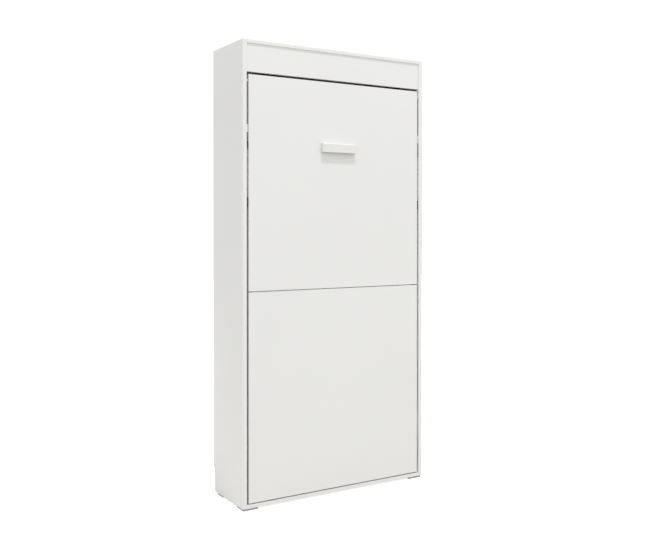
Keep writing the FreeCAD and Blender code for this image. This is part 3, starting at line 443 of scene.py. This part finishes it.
def make_zinc_material():
    """Cold rolled sheet under zinc: faint streaks, and patches of blue and yellow passivation."""
    material, tree, shader = new_material("zinc_plate")
    place = object_coordinates(tree)
    patches = noise(tree, place, scale=34.0, detail=4.0)
    blue = mix_colours(tree, remap(tree, patches, span=(0.38, 0.62)), ZINC, ZINC_BLUE)
    flecks = noise(tree, place, scale=75.0, detail=3.0)
    yellow = remap(tree, flecks, onto=(0.0, 0.8), span=(0.52, 0.75))
    tree.links.new(mix_colours(tree, yellow, blue, ZINC_YELLOW), shader.inputs["Base Color"])
    streaks = noise(tree, stretched(tree, place, ZINC_STRETCH), scale=14.0, detail=5.0)
    polish = remap(tree, streaks, onto=(0.26, 0.42), span=NOISE_SPAN)
    tree.links.new(polish, shader.inputs["Roughness"])
    shader.inputs["Metallic"].default_value = 1.0
    bump(tree, shader, streaks, distance=0.00004)
    return material


zinc_plate = make_zinc_material()
finish_with(
    zinc_plate, "pivot_plate_left", "pivot_plate_right", "pivot_arm_left", "pivot_arm_right")
finish_with(
    clouded_material("acetal_bush", BUSH_TAN, BUSH_TAN_DARK, cloud_scale=60.0, grain_scale=1800.0,
                     grain_height=0.00003, roughness=(0.30, 0.40)),
    "pivot_bushes")


# Screws of the plates.
# Countersunk steel screws with a cross recess, zinc plated, driven flush with the plate they hold.
# Each stands in the cone of its own hole.

SCREW_SINK = 0.0001
SCREW_CROSS_REACH = 0.60  # the cross in shares of the head's radius and depth
SCREW_CROSS_WIDTH = 0.48
SCREW_CROSS_DEPTH = 0.55
FIRST_TURN = 23
NEXT_TURN = 37


def add_driver_cross(bm, rim, height, head_radius, head_depth):
    add_cross_face(bm, rim, height, head_radius * SCREW_CROSS_REACH,
                   head_radius * SCREW_CROSS_WIDTH, head_depth * SCREW_CROSS_DEPTH)


def driven_turn(count):
    """No two screws stop at the same angle."""
    return Matrix.Rotation(math.radians(FIRST_TURN + NEXT_TURN * count), 4, "Z")


def make_screw(head_radius, shank_radius, depth):
    bm = bmesh.new()
    low = add_ring(bm, circle(shank_radius, -depth))
    rim = add_ring(bm, circle(head_radius, -SCREW_SINK))
    skirt(bm, low, rim)
    bm.faces.new(reversed(low))
    add_driver_cross(bm, rim, -SCREW_SINK, head_radius, depth)
    return bm


def dress_screws(node, body):
    """Cross-head screws in place of a CAD node's, in the same cones."""
    screws = bmesh.new()
    for count, solid in enumerate(solids_of(node)):
        low, high = solid.min(0), solid.max(0)
        centre = (low + high) / 2
        spread = np.hypot(solid[:, 1] - centre[1], solid[:, 2] - centre[2])
        at_low = spread[solid[:, 0] < centre[0]].max()
        at_high = spread[solid[:, 0] > centre[0]].max()
        outward = 1 if at_high > at_low else -1
        foot = (high[0] if outward > 0 else low[0], centre[1], centre[2])
        screw = make_screw(max(at_low, at_high), min(at_low, at_high), high[0] - low[0])
        stamp(screws, screw, stand_on((outward, 0, 0), foot) @ driven_turn(count))
        screw.free()
    piece = piece_from(
        screws, node + "_driven", body, zinc_plate, smooth_angle=35)
    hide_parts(node)


for screws_node in ("pivot_plate_screws", "spring_mount_screws"):
    dress_screws(screws_node, "cabinet")
for screws_node in ("pivot_arm_screws", "spring_bracket_screws", "leg_mount_screws"):
    dress_screws(screws_node, "bed")


# Gas springs with their mounts.
# A black painted steel tube with rolled ends, and a hard chromed rod that slides in it. Each end
# has a flat steel eye, on a stud of the side panel above and on the bed's bracket below.

TUBE_BLACK = (0.014, 0.014, 0.015)
TUBE_BLACK_SHADE = (0.024, 0.024, 0.026)
ROD_CHROME = (0.640, 0.650, 0.665)
ROD_CHROME_SHADE = (0.560, 0.570, 0.590)
tube_paint = clouded_material(
    "tube_paint", TUBE_BLACK, TUBE_BLACK_SHADE, cloud_scale=30.0, grain_scale=700.0,
    grain_height=0.00005, roughness=(0.24, 0.34), Coat_Weight=0.3)
rod_chrome = clouded_material(
    "rod_chrome", ROD_CHROME, ROD_CHROME_SHADE, cloud_scale=45.0, grain_scale=1600.0,
    grain_height=0.00001, roughness=(0.10, 0.18), Metallic=1.0)
finish_with(tube_paint, "spring_cylinder_left", "spring_cylinder_right")
finish_with(rod_chrome, "spring_rod_left", "spring_rod_right")
finish_with(
    zinc_plate, "spring_mount_left", "spring_mount_right", "spring_bracket_left",
    "spring_bracket_right")


# Doors, which are the underside of the bed when it is down.
# Two 16 mm white boards edged all round, butted with a narrow joint and screwed to the bed box from
# behind, so nothing shows in front but the joint.

finish_with(white_laminate, "door_lower", "door_upper")


# Bed box.
# White rails on edge, with rounded upper edges, and battens across the back of the doors.
# Bent zinc plated angles hold the four corners.

finish_with(
    white_laminate, "side_rail_left", "side_rail_right", "head_rail", "foot_rail", "door_battens")
finish_with(zinc_plate, "corner_brackets")


# Handle, its end plugs and its screws.
# Folded aluminium strip, powder coated white, closed on top and open underneath for the fingers,
# with a thin plug pressed into each end. Two pan-head screws hold it through the door from behind.

COAT_WHITE = (0.770, 0.770, 0.758)
COAT_SHADE = (0.756, 0.756, 0.745)
HANDLE_WALL = 0.0025
PLUG_THICKNESS = 0.0020
PLUG_ROUNDING = 0.0004
PLUG_PLAY = 0.0001
PAN_PROFILE = ((1.0, 0.0), (1.0, 0.45), (0.94, 0.75), (0.80, 0.93), (0.66, 1.0))
CLOSE = 0.0001  # less than any step between two faces
powder_white = clouded_material(
    "powder_white", COAT_WHITE, COAT_SHADE, cloud_scale=14.0, grain_scale=1300.0,
    grain_height=0.00006, roughness=(0.40, 0.48))
finish_with(powder_white, "handle")


def make_end_plug(half_height, half_depth):
    """A thin plate with a rounded rim, its face on the level of zero."""
    bm = bmesh.new()
    corners = ((1, 1), (-1, 1), (-1, -1), (1, -1))
    steps = ((0, -PLUG_THICKNESS), (0, -PLUG_ROUNDING), (PLUG_ROUNDING, 0))
    rings = [add_ring(bm, [(x * (half_height - inset), y * (half_depth - inset), level)
                           for x, y in corners])
             for inset, level in steps]
    bm.faces.new(reversed(rings[0]))
    for ring, following in zip(rings, rings[1:]):
        skirt(bm, ring, following)
    bm.faces.new(rings[-1])
    return bm


handle_low, handle_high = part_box("handle")
wall_and_play = HANDLE_WALL + PLUG_PLAY
plug_low = handle_low.z + PLUG_ROUNDING
plug_high = handle_high.z - wall_and_play
plug = make_end_plug((plug_high - plug_low) / 2,
                     (handle_high.y - handle_low.y) / 2 - wall_and_play)
plugs = bmesh.new()
for side in (-1, 1):
    foot = (side * (handle_high.x - PLUG_PLAY), (handle_low.y + handle_high.y) / 2,
            (plug_low + plug_high) / 2)
    stamp(plugs, plug, stand_on((side, 0, 0), foot))
plug.free()
piece_from(plugs, "handle_end_plugs", "bed", moulded_white, smooth_angle=35)


def make_pan_screw(head_radius, head_height, shank_radius, shank_length):
    """A machine screw that points down, its head standing on the level of zero."""
    bm = bmesh.new()
    tip = add_ring(bm, circle(shank_radius, -shank_length))
    neck = add_ring(bm, circle(shank_radius, 0))
    bm.faces.new(reversed(tip))
    skirt(bm, tip, neck)
    ring = neck
    for across, up in PAN_PROFILE:
        wider = add_ring(bm, circle(head_radius * across, head_height * up))
        skirt(bm, ring, wider)
        ring = wider
    add_driver_cross(bm, ring, head_height, head_radius, head_height)
    return bm


def half_width(points):
    return (points[:, 0].max() - points[:, 0].min()) / 2


_, door_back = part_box("door_upper")
pan_screws = bmesh.new()
for count, solid in enumerate(solids_of("handle_screws")):
    low, high = solid.min(0), solid.max(0)
    head_radius = half_width(solid[solid[:, 1] > door_back.y + CLOSE])
    shank_radius = half_width(solid[solid[:, 1] < low[1] + CLOSE])
    screw = make_pan_screw(head_radius, high[1] - door_back.y, shank_radius, door_back.y - low[1])
    foot = ((low[0] + high[0]) / 2, door_back.y, (low[2] + high[2]) / 2)
    stamp(pan_screws, screw, stand_on((0, 1, 0), foot) @ driven_turn(count))
    screw.free()
handle_screws = piece_from(
    pan_screws, "handle_screws_driven", "bed", zinc_plate, smooth_angle=35)
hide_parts("handle_screws")


# Slats and their holders.
# Fourteen bowed slats of laminated beech, clear lacquered, their ends in pockets of grey plastic
# that are screwed to the side rails. The plies and their glue lines show along the edges.

BEECH_LIGHT = (0.640, 0.430, 0.245)
BEECH_DARK = (0.520, 0.325, 0.170)
BEECH_FLECK = (0.360, 0.195, 0.090)
BEECH_GLUE = (0.280, 0.150, 0.070)
BEECH_STRETCH = (0.3, 22.0, 22.0)
BEECH_PLIES = 5
GLUE_SHARE = 0.10  # of a ply's thickness
GLUE_STRENGTH = 0.75
HOLDER_GREY = (0.300, 0.300, 0.305)
HOLDER_GREY_SHADE = (0.245, 0.245, 0.250)


def slat_arc():
    """The radius of the slats' face and the depth of the arc's centre, from the lowest slat."""
    slat = min(solids_of("slats"), key=lambda solid: solid[:, 2].min())
    half = slat[:, 0].max()
    ends = slat[np.abs(slat[:, 0]) > half - CLOSE][:, 1]
    thickness = ends.max() - ends.min()
    rise = slat[:, 1].max() - ends.max()
    radius = (half * half + rise * rise) / (2 * rise)
    return radius, slat[:, 1].max() - radius, thickness


def make_beech_material():
    """Grain and short dark flecks along the slat, with glue lines counted from the arc's centre."""
    radius, centre_depth, thickness = slat_arc()
    material, tree, shader = new_material("beech_slat")
    place = object_coordinates(tree)
    along = stretched(tree, place, BEECH_STRETCH)
    grain = noise(tree, along, scale=9.0, detail=6.0, roughness=0.6)
    wood = mix_colours(tree, remap(tree, grain, span=NOISE_SPAN), BEECH_LIGHT, BEECH_DARK)
    flecks = remap(tree, noise(tree, along, scale=120.0), onto=(0.0, 0.7), span=(0.62, 0.74))
    wood = mix_colours(tree, flecks, wood, BEECH_FLECK)
    parted = tree.nodes.new("ShaderNodeSeparateXYZ")
    tree.links.new(place, parted.inputs["Vector"])
    across = tree.nodes.new("ShaderNodeCombineXYZ")
    tree.links.new(parted.outputs["X"], across.inputs["X"])
    tree.links.new(calculate(tree, "SUBTRACT", parted.outputs["Y"], centre_depth),
                   across.inputs["Y"])
    reach = tree.nodes.new("ShaderNodeVectorMath")
    reach.operation = "LENGTH"
    tree.links.new(across.outputs["Vector"], reach.inputs[0])
    half_ply = thickness / BEECH_PLIES / 2
    layer = remap(tree, reach.outputs["Value"], onto=(0.5, BEECH_PLIES - 0.5),
                  span=(radius - thickness + half_ply, radius - half_ply))
    from_glue = calculate(tree, "PINGPONG", calculate(tree, "FRACT", layer), 0.5)
    glue = remap(tree, from_glue, onto=(GLUE_STRENGTH, 0.0), span=(0.0, GLUE_SHARE))
    tree.links.new(mix_colours(tree, glue, wood, BEECH_GLUE), shader.inputs["Base Color"])
    tree.links.new(remap(tree, grain, onto=(0.36, 0.50)), shader.inputs["Roughness"])
    bump(tree, shader, grain, distance=0.00015)
    return material


finish_with(make_beech_material(), "slats")
finish_with(
    clouded_material("moulded_grey", HOLDER_GREY, HOLDER_GREY_SHADE, **SPARK_TEXTURE),
    "slat_holders")


# Mattress.
# A foam core in a knitted cover, quilted in diamonds on both faces, with a border band and a corded
# seam round each edge. The faces round off towards their seams, and the border swells between them.

QUILT_PITCH = 0.105
QUILT_PUFF = 0.0065
QUILT_SEAM = 0.012
QUILT_GRID = 0.009
QUILT_FADE = 0.060
EDGE_DROP = 0.0125
EDGE_REACH = 0.034
MATTRESS_INSET = 0.0025
MATTRESS_CORNER = 0.045
BORDER_ROWS = 14
BORDER_SWELL = 0.0022
BORDER_TUCK = 0.0020
TUCK_LINES = 3
TUCK_SHARPNESS = 8
SEAM_CORD = 0.0028
SEAM_CORD_POINTS = 8
COVER_WHITE = (0.770, 0.768, 0.750)
COVER_SHADE = (0.700, 0.698, 0.682)
COVER_PIPING = (0.520, 0.525, 0.530)
COVER_STITCH = 0.0016
WAVE_PERIOD = math.pi / 10  # of the wave texture at a scale of one
YARN_WANDER = 1.2
YARN_WANDER_SCALE = 30.0
WEAVE_SHARE = 0.6  # of the colour's change, where the clouds make the rest


def corner_map(x, z, half_x, half_z, corner):
    """Move a point of a rectangle into the same rectangle with round corners, smoothly."""
    over_x = max(abs(x) - (half_x - corner), 0.0) / corner
    over_z = max(abs(z) - (half_z - corner), 0.0) / corner
    if over_x and over_z:
        round_x = over_x * math.sqrt(1 - over_z * over_z / 2)
        round_z = over_z * math.sqrt(1 - over_x * over_x / 2)
        x = math.copysign(half_x - corner + round_x * corner, x)
        z = math.copysign(half_z - corner + round_z * corner, z)
    return x, z


def smooth_step(share):
    share = min(max(share, 0.0), 1.0)
    return share * share * (3 - 2 * share)


def quilt_sink(x, z, edge_distance):
    """How far the face stands under its highest level: seam valleys, and the round of the edge."""
    valley = 0.0
    for diagonal in (x + z, x - z):
        line = diagonal / math.sqrt(2) / QUILT_PITCH
        distance = abs(line - round(line)) * QUILT_PITCH
        valley = max(valley, math.exp(-(distance / QUILT_SEAM) ** 2))
    quilting = QUILT_PUFF * valley * smooth_step(edge_distance / QUILT_FADE)
    over = max(1 - edge_distance / EDGE_REACH, 0.0)
    return quilting + EDGE_DROP * (1 - math.sqrt(1 - over * over))


def woven_cover(name, light, dark, pitch, height, roughness):
    """Two crossed sets of yarns with a little cloudiness and the sheen of knitted cloth."""
    material, tree, shader = new_material(name)
    place = object_coordinates(tree)
    yarns = []
    for direction in ("X", "Z"):
        wave = tree.nodes.new("ShaderNodeTexWave")
        wave.bands_direction = direction
        wave.inputs["Scale"].default_value = WAVE_PERIOD / pitch
        wave.inputs["Distortion"].default_value = YARN_WANDER
        wave.inputs["Detail Scale"].default_value = YARN_WANDER_SCALE
        tree.links.new(place, wave.inputs["Vector"])
        yarns.append(wave.outputs["Fac"])
    weave = calculate(tree, "MULTIPLY", *yarns)
    clouds = noise(tree, place, scale=11.0, detail=4.0)
    cloud_part = remap(tree, clouds, onto=(0.0, 1 - WEAVE_SHARE))
    blend = calculate(tree, "MULTIPLY_ADD", weave, WEAVE_SHARE, cloud_part)
    tree.links.new(mix_colours(tree, blend, dark, light), shader.inputs["Base Color"])
    tree.links.new(remap(tree, clouds, onto=roughness), shader.inputs["Roughness"])
    shader.inputs["Sheen Weight"].default_value = 0.25
    shader.inputs["Sheen Roughness"].default_value = 0.5
    bump(tree, shader, weave, height)
    return material


knitted_cover = woven_cover(
    "knitted_cover", COVER_WHITE, COVER_SHADE, COVER_STITCH, height=0.0004, roughness=(0.80, 0.92))
corded_seam = woven_cover(
    "corded_seam", COVER_PIPING, COVER_SHADE, COVER_STITCH, height=0.0003, roughness=(0.75, 0.88))
mattress_low, mattress_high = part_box("mattress")
middle = (mattress_low + mattress_high) / 2
half_x = (mattress_high.x - mattress_low.x) / 2 - MATTRESS_INSET
half_z = (mattress_high.z - mattress_low.z) / 2 - MATTRESS_INSET
columns = round(2 * half_x / QUILT_GRID)
rows = round(2 * half_z / QUILT_GRID)


def add_quilted_face(bm, level, outward):
    """One quilted face as a grid of vertices, which rounds off towards its seam."""
    grid = []
    for row in range(rows + 1):
        line = []
        for column in range(columns + 1):
            flat_x = (2 * column / columns - 1) * half_x
            flat_z = (2 * row / rows - 1) * half_z
            x, z = corner_map(flat_x, flat_z, half_x, half_z, MATTRESS_CORNER)
            edge_distance = min(half_x - abs(flat_x), half_z - abs(flat_z))
            sink = quilt_sink(x, z, edge_distance)
            line.append(bm.verts.new((middle.x + x, level - outward * sink, middle.z + z)))
        grid.append(line)
    for near, far in zip(grid, grid[1:]):
        for column in range(columns):
            bm.faces.new((near[column], near[column + 1], far[column + 1], far[column]))
    return grid


def border_of(grid):
    """The outer vertices of a grid in order round it."""
    return (grid[0][:-1] + [line[-1] for line in grid[:-1]]
            + grid[-1][:0:-1] + [line[0] for line in grid[:0:-1]])


def outward_normals(loop):
    """The sideways direction away from the mattress at each point of an outline."""
    normals = []
    for i in range(len(loop)):
        ahead = loop[(i + 1) % len(loop)].co - loop[i - 1].co
        normals.append(Vector((ahead.z, 0, -ahead.x)).normalized())
    return normals


cover = bmesh.new()
back_loop = border_of(add_quilted_face(cover, mattress_high.y, 1))
front_loop = border_of(add_quilted_face(cover, mattress_low.y, -1))
sideways = outward_normals(back_loop)
seam_outlines = [[vertex.co.copy() for vertex in loop] for loop in (back_loop, front_loop)]
previous = back_loop
for row in range(1, BORDER_ROWS):
    share = row / BORDER_ROWS
    tuck = BORDER_TUCK * abs(math.sin(TUCK_LINES * math.pi * share)) ** TUCK_SHARPNESS
    swell = BORDER_SWELL * math.sin(math.pi * share) - tuck
    ring = add_ring(cover, [back.co.lerp(front.co, share) + side * swell
                            for back, front, side in zip(back_loop, front_loop, sideways)])
    skirt(cover, ring, previous)
    previous = ring
skirt(cover, front_loop, previous)
mattress = piece_from(
    cover, "mattress_cover", "bed", knitted_cover, smooth_angle=60)
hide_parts("mattress")


def add_seam_cord(bm, outline, normals):
    """A thin cord sewn in along an outline, half sunk in the cover."""
    rings = []
    for point, side in zip(outline, normals):
        ring = []
        for i in range(SEAM_CORD_POINTS):
            angle = 2 * math.pi * i / SEAM_CORD_POINTS
            ring.append(point + side * SEAM_CORD * math.cos(angle)
                        + Vector((0, SEAM_CORD * math.sin(angle), 0)))
        rings.append(add_ring(bm, ring))
    for i, ring in enumerate(rings):
        skirt(bm, ring, rings[(i + 1) % len(rings)])


cords = bmesh.new()
for outline in seam_outlines:
    add_seam_cord(cords, outline, sideways)
piece_from(cords, "mattress_seams", "bed", corded_seam, smooth_angle=60)


# Straps with their buckles and end plates.
# Two belts of dark woven webbing hold mattress and bedding when the bed is up. Their ends are
# folded under small steel plates, and a plastic slide takes up the slack.

WEB_DARK = (0.055, 0.056, 0.062)
WEB_LIGHT = (0.115, 0.117, 0.125)
WEB_PITCH = 0.0011
WEB_THICKNESS = 0.0016
WEB_STAND_OFF = 0.13  # how far out in its space beside the mattress the belt goes up
WEB_FOOT_BEND = 0.003
WEB_BEND = 0.014
WEB_BEND_POINTS = 9
FOLD_REACH = (0.014, 0.001)  # from the belt's end
FOLD_INSET = 0.0004
TAIL_LIFT = 0.0006
TAIL_INSET = 0.0006
TAIL_THICKNESS = 0.8  # of the belt's, because it is pulled tight
LOOP_START = (0.020, 0.010)  # along the belt from the middle of the slide
LOOP_REACH = 0.0045
LOOP_RADIUS = 0.0026
LOOP_STEP = 20
TAIL_PLACES = ((0.016, 0.0052), (0.024, 0.0036), (0.036, 0.0008), (0.150, 0.0002))
SLIDE_BLACK = (0.018, 0.018, 0.019)
SLIDE_BLACK_SHADE = (0.030, 0.030, 0.031)


def add_ribbon(bm, path, low_z, high_z, thickness):
    """A belt of even thickness along a path of X and Y places, its ends closed."""
    rings = []
    for i, (x, y) in enumerate(path):
        before, after = path[max(i - 1, 0)], path[min(i + 1, len(path) - 1)]
        along = Vector((after[0] - before[0], after[1] - before[1])).normalized()
        across = Vector((-along.y, along.x)) * thickness / 2
        ring = [(x - across.x, y - across.y, low_z), (x + across.x, y + across.y, low_z),
                (x + across.x, y + across.y, high_z), (x - across.x, y - across.y, high_z)]
        rings.append(add_ring(bm, ring))
    for ring, following in zip(rings, rings[1:]):
        skirt(bm, ring, following)
    bm.faces.new(rings[0])
    bm.faces.new(rings[-1])


def quarter_bend(centre, radius, start):
    """Points of a quarter circle from a start angle in degrees, turning clockwise."""
    angles = [math.radians(start - 90 * i / (WEB_BEND_POINTS - 1)) for i in range(WEB_BEND_POINTS)]
    return [(centre[0] + radius * math.cos(angle), centre[1] + radius * math.sin(angle))
            for angle in angles]


def turn_round_bar(x, lift):
    """Half an ellipse, by which the belt turns back round the bar of its slide."""
    angles = [math.radians(degrees) for degrees in range(0, 180 + LOOP_STEP, LOOP_STEP)]
    return [(x - LOOP_REACH * math.sin(angle), lift + LOOP_RADIUS - LOOP_RADIUS * math.cos(angle))
            for angle in angles]


webbing = woven_cover(
    "belt_webbing", WEB_LIGHT, WEB_DARK, WEB_PITCH, height=0.0004, roughness=(0.62, 0.74))
strap_solids = sorted(solids_of("bedding_straps"), key=lambda solid: solid[:, 2].min())
buckle_solids = sorted(solids_of("strap_buckles"), key=lambda solid: solid[:, 2].min())
belts = bmesh.new()
for strap, slide in zip(strap_solids, buckle_solids):
    low, high = Vector(strap.min(0)), Vector(strap.max(0))
    foot_y = low.y + WEB_THICKNESS / 2
    run_y = high.y - WEB_THICKNESS / 2
    leg_x = mattress_high.x + (high.x - mattress_high.x) * WEB_STAND_OFF
    left = [(low.x, foot_y), (-leg_x - WEB_FOOT_BEND, foot_y), (-leg_x, foot_y + WEB_FOOT_BEND)]
    left += quarter_bend((WEB_BEND - leg_x, run_y - WEB_BEND), WEB_BEND, 180)
    right = [(-x, y) for x, y in reversed(left)]
    add_ribbon(belts, left + right, low.z, high.z, WEB_THICKNESS)
    for side in (-1, 1):
        fold = [(side * (high.x - reach), foot_y + WEB_THICKNESS) for reach in FOLD_REACH]
        add_ribbon(belts, fold, low.z + FOLD_INSET, high.z - FOLD_INSET, WEB_THICKNESS)
    slide_x = (slide[:, 0].min() + slide[:, 0].max()) / 2
    lift = run_y + WEB_THICKNESS + TAIL_LIFT
    tail = [(slide_x + x, lift) for x in LOOP_START] + turn_round_bar(slide_x, lift)
    tail += [(slide_x + x, lift + y) for x, y in TAIL_PLACES]
    add_ribbon(
        belts, tail, low.z + TAIL_INSET, high.z - TAIL_INSET, WEB_THICKNESS * TAIL_THICKNESS)
woven_belts = piece_from(belts, "belts_woven", "bed", webbing, smooth_angle=50)
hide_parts("bedding_straps")
moulded_black = clouded_material(
    "moulded_black", SLIDE_BLACK, SLIDE_BLACK_SHADE, cloud_scale=40.0, grain_scale=1700.0,
    grain_height=0.00006, roughness=(0.36, 0.48))
finish_with(moulded_black, "strap_buckles")
finish_with(zinc_plate, "strap_plates")


# Legs with their mounts.
# Flat steel bars, powder coated white, that swing on a stud of the side rail and stay upright as
# the bed comes down. A black flanged bush is the bearing, and a black moulded foot takes the floor.

finish_with(powder_white, "leg_left", "leg_right")
finish_with(moulded_black, "leg_bush_left", "leg_bush_right", "leg_foot_left", "leg_foot_right")
finish_with(zinc_plate, "leg_mount_left", "leg_mount_right")


# Pads and stops.
# White plastic pads on the side panels centre the door as it closes. Behind the fascia, two black
# painted steel tongues carry rubber buffers that the door comes to rest on.

RUBBER_BLACK = (0.020, 0.020, 0.021)
RUBBER_GREY = (0.036, 0.036, 0.037)
finish_with(moulded_white, "guide_pads", "top_guide_pads")
finish_with(tube_paint, "stop_brackets")
finish_with(
    clouded_material("buffer_rubber", RUBBER_BLACK, RUBBER_GREY, cloud_scale=50.0,
                     grain_scale=1300.0, grain_height=0.0001, roughness=(0.70, 0.85)),
    "stop_buffers")


# Studio: floor, white surroundings and lamp.
# A pale floor, even white light all round, and one small far lamp high in front, which throws the
# crisp shadow under the handle. Floor and surroundings are lifted to white where they are seen.

FLOOR_SIZE = 30.0
FLOOR_WHITE = (0.580, 0.572, 0.556)
FLOOR_PATCH = (0.572, 0.564, 0.548)
FLOOR_LIFT = 0.80
SKY_LIGHT = 0.963
SKY_SEEN = 1.02
KEY_ELEVATION = 70.0
KEY_DISTANCE = 10.0
KEY_SIZE = 0.8
KEY_POWER = 476.0


def show_to_eye(tree, plain, seen, output):
    """One shader for what is seen, straight or in metal or glass, and the plain one for light."""
    path = tree.nodes.new("ShaderNodeLightPath")
    to_eye = path.outputs["Is Camera Ray"]
    for ray in ("Is Glossy Ray", "Is Transmission Ray"):
        to_eye = calculate(tree, "MAXIMUM", to_eye, path.outputs[ray])
    choice = tree.nodes.new("ShaderNodeMixShader")
    for socket, source in zip(choice.inputs, (to_eye, plain, seen)):
        tree.links.new(source, socket)
    tree.links.new(choice.outputs["Shader"], tree.nodes[output].inputs["Surface"])


def make_floor_material():
    """Plain pale floor, lifted to white for the eye."""
    material, tree, shader = new_material("floor_white")
    patches = noise(tree, object_coordinates(tree), scale=2.0)
    tree.links.new(mix_colours(tree, patches, FLOOR_WHITE, FLOOR_PATCH),
                   shader.inputs["Base Color"])
    shader.inputs["Roughness"].default_value = 0.9
    shader.inputs["Specular IOR Level"].default_value = 0.1
    glow = tree.nodes.new("ShaderNodeEmission")
    glow.inputs["Strength"].default_value = FLOOR_LIFT
    both = tree.nodes.new("ShaderNodeAddShader")
    tree.links.new(shader.outputs["BSDF"], both.inputs[0])
    tree.links.new(glow.outputs["Emission"], both.inputs[1])
    show_to_eye(tree, shader.outputs["BSDF"], both.outputs["Shader"], "Material Output")
    return material


bpy.ops.mesh.primitive_plane_add(size=FLOOR_SIZE, location=(0, 0, 0))
floor = bpy.context.object
floor.name = "studio_floor"
floor.data.materials.append(make_floor_material())

world = bpy.data.worlds.new("studio_white")
world.use_nodes = True
bpy.context.scene.world = world
sky = world.node_tree.nodes["Background"]
white = world.node_tree.nodes.new("ShaderNodeBackground")
for background, strength in ((sky, SKY_LIGHT), (white, SKY_SEEN)):
    background.inputs["Color"].default_value = (1, 1, 1, 1)
    background.inputs["Strength"].default_value = strength
show_to_eye(world.node_tree, sky.outputs["Background"], white.outputs["Background"], "World Output")

lit = Vector((0, handle_low.y, handle_low.z))
rise = math.radians(KEY_ELEVATION)
towards_key = Vector((0, -math.cos(rise), math.sin(rise)))
light = bpy.data.lights.new("key_lamp", "AREA")
light.shape = "DISK"
light.size = KEY_SIZE
light.energy = KEY_POWER
lamp = bpy.data.objects.new("key_lamp", light)
lamp.location = lit + KEY_DISTANCE * towards_key
lamp.rotation_euler = towards_key.to_track_quat("Z", "Y").to_euler()
lamp.visible_camera = False
bpy.context.scene.collection.objects.link(lamp)


# Camera: eye height and distance of the photograph, a little to the left of the cabinet.
# The picture is taken level with a slight downward shift, so the uprights stay upright.

CAMERA_PLACE = (-2.216, -3.6915, 1.349)
CAMERA_YAW = -31.2
CAMERA_PITCH = -0.35
CAMERA_LENS = 45.86
CAMERA_SHIFT = -0.0685
lens = bpy.data.cameras.new("photo_camera")
lens.lens = CAMERA_LENS
lens.sensor_width = 36.0
lens.shift_y = CAMERA_SHIFT
camera = bpy.data.objects.new("photo_camera", lens)
camera.location = CAMERA_PLACE
camera.rotation_euler = (math.radians(90 + CAMERA_PITCH), 0, math.radians(CAMERA_YAW))
bpy.context.scene.collection.objects.link(camera)
bpy.context.scene.camera = camera
bpy.context.scene.view_settings.view_transform = "Standard"
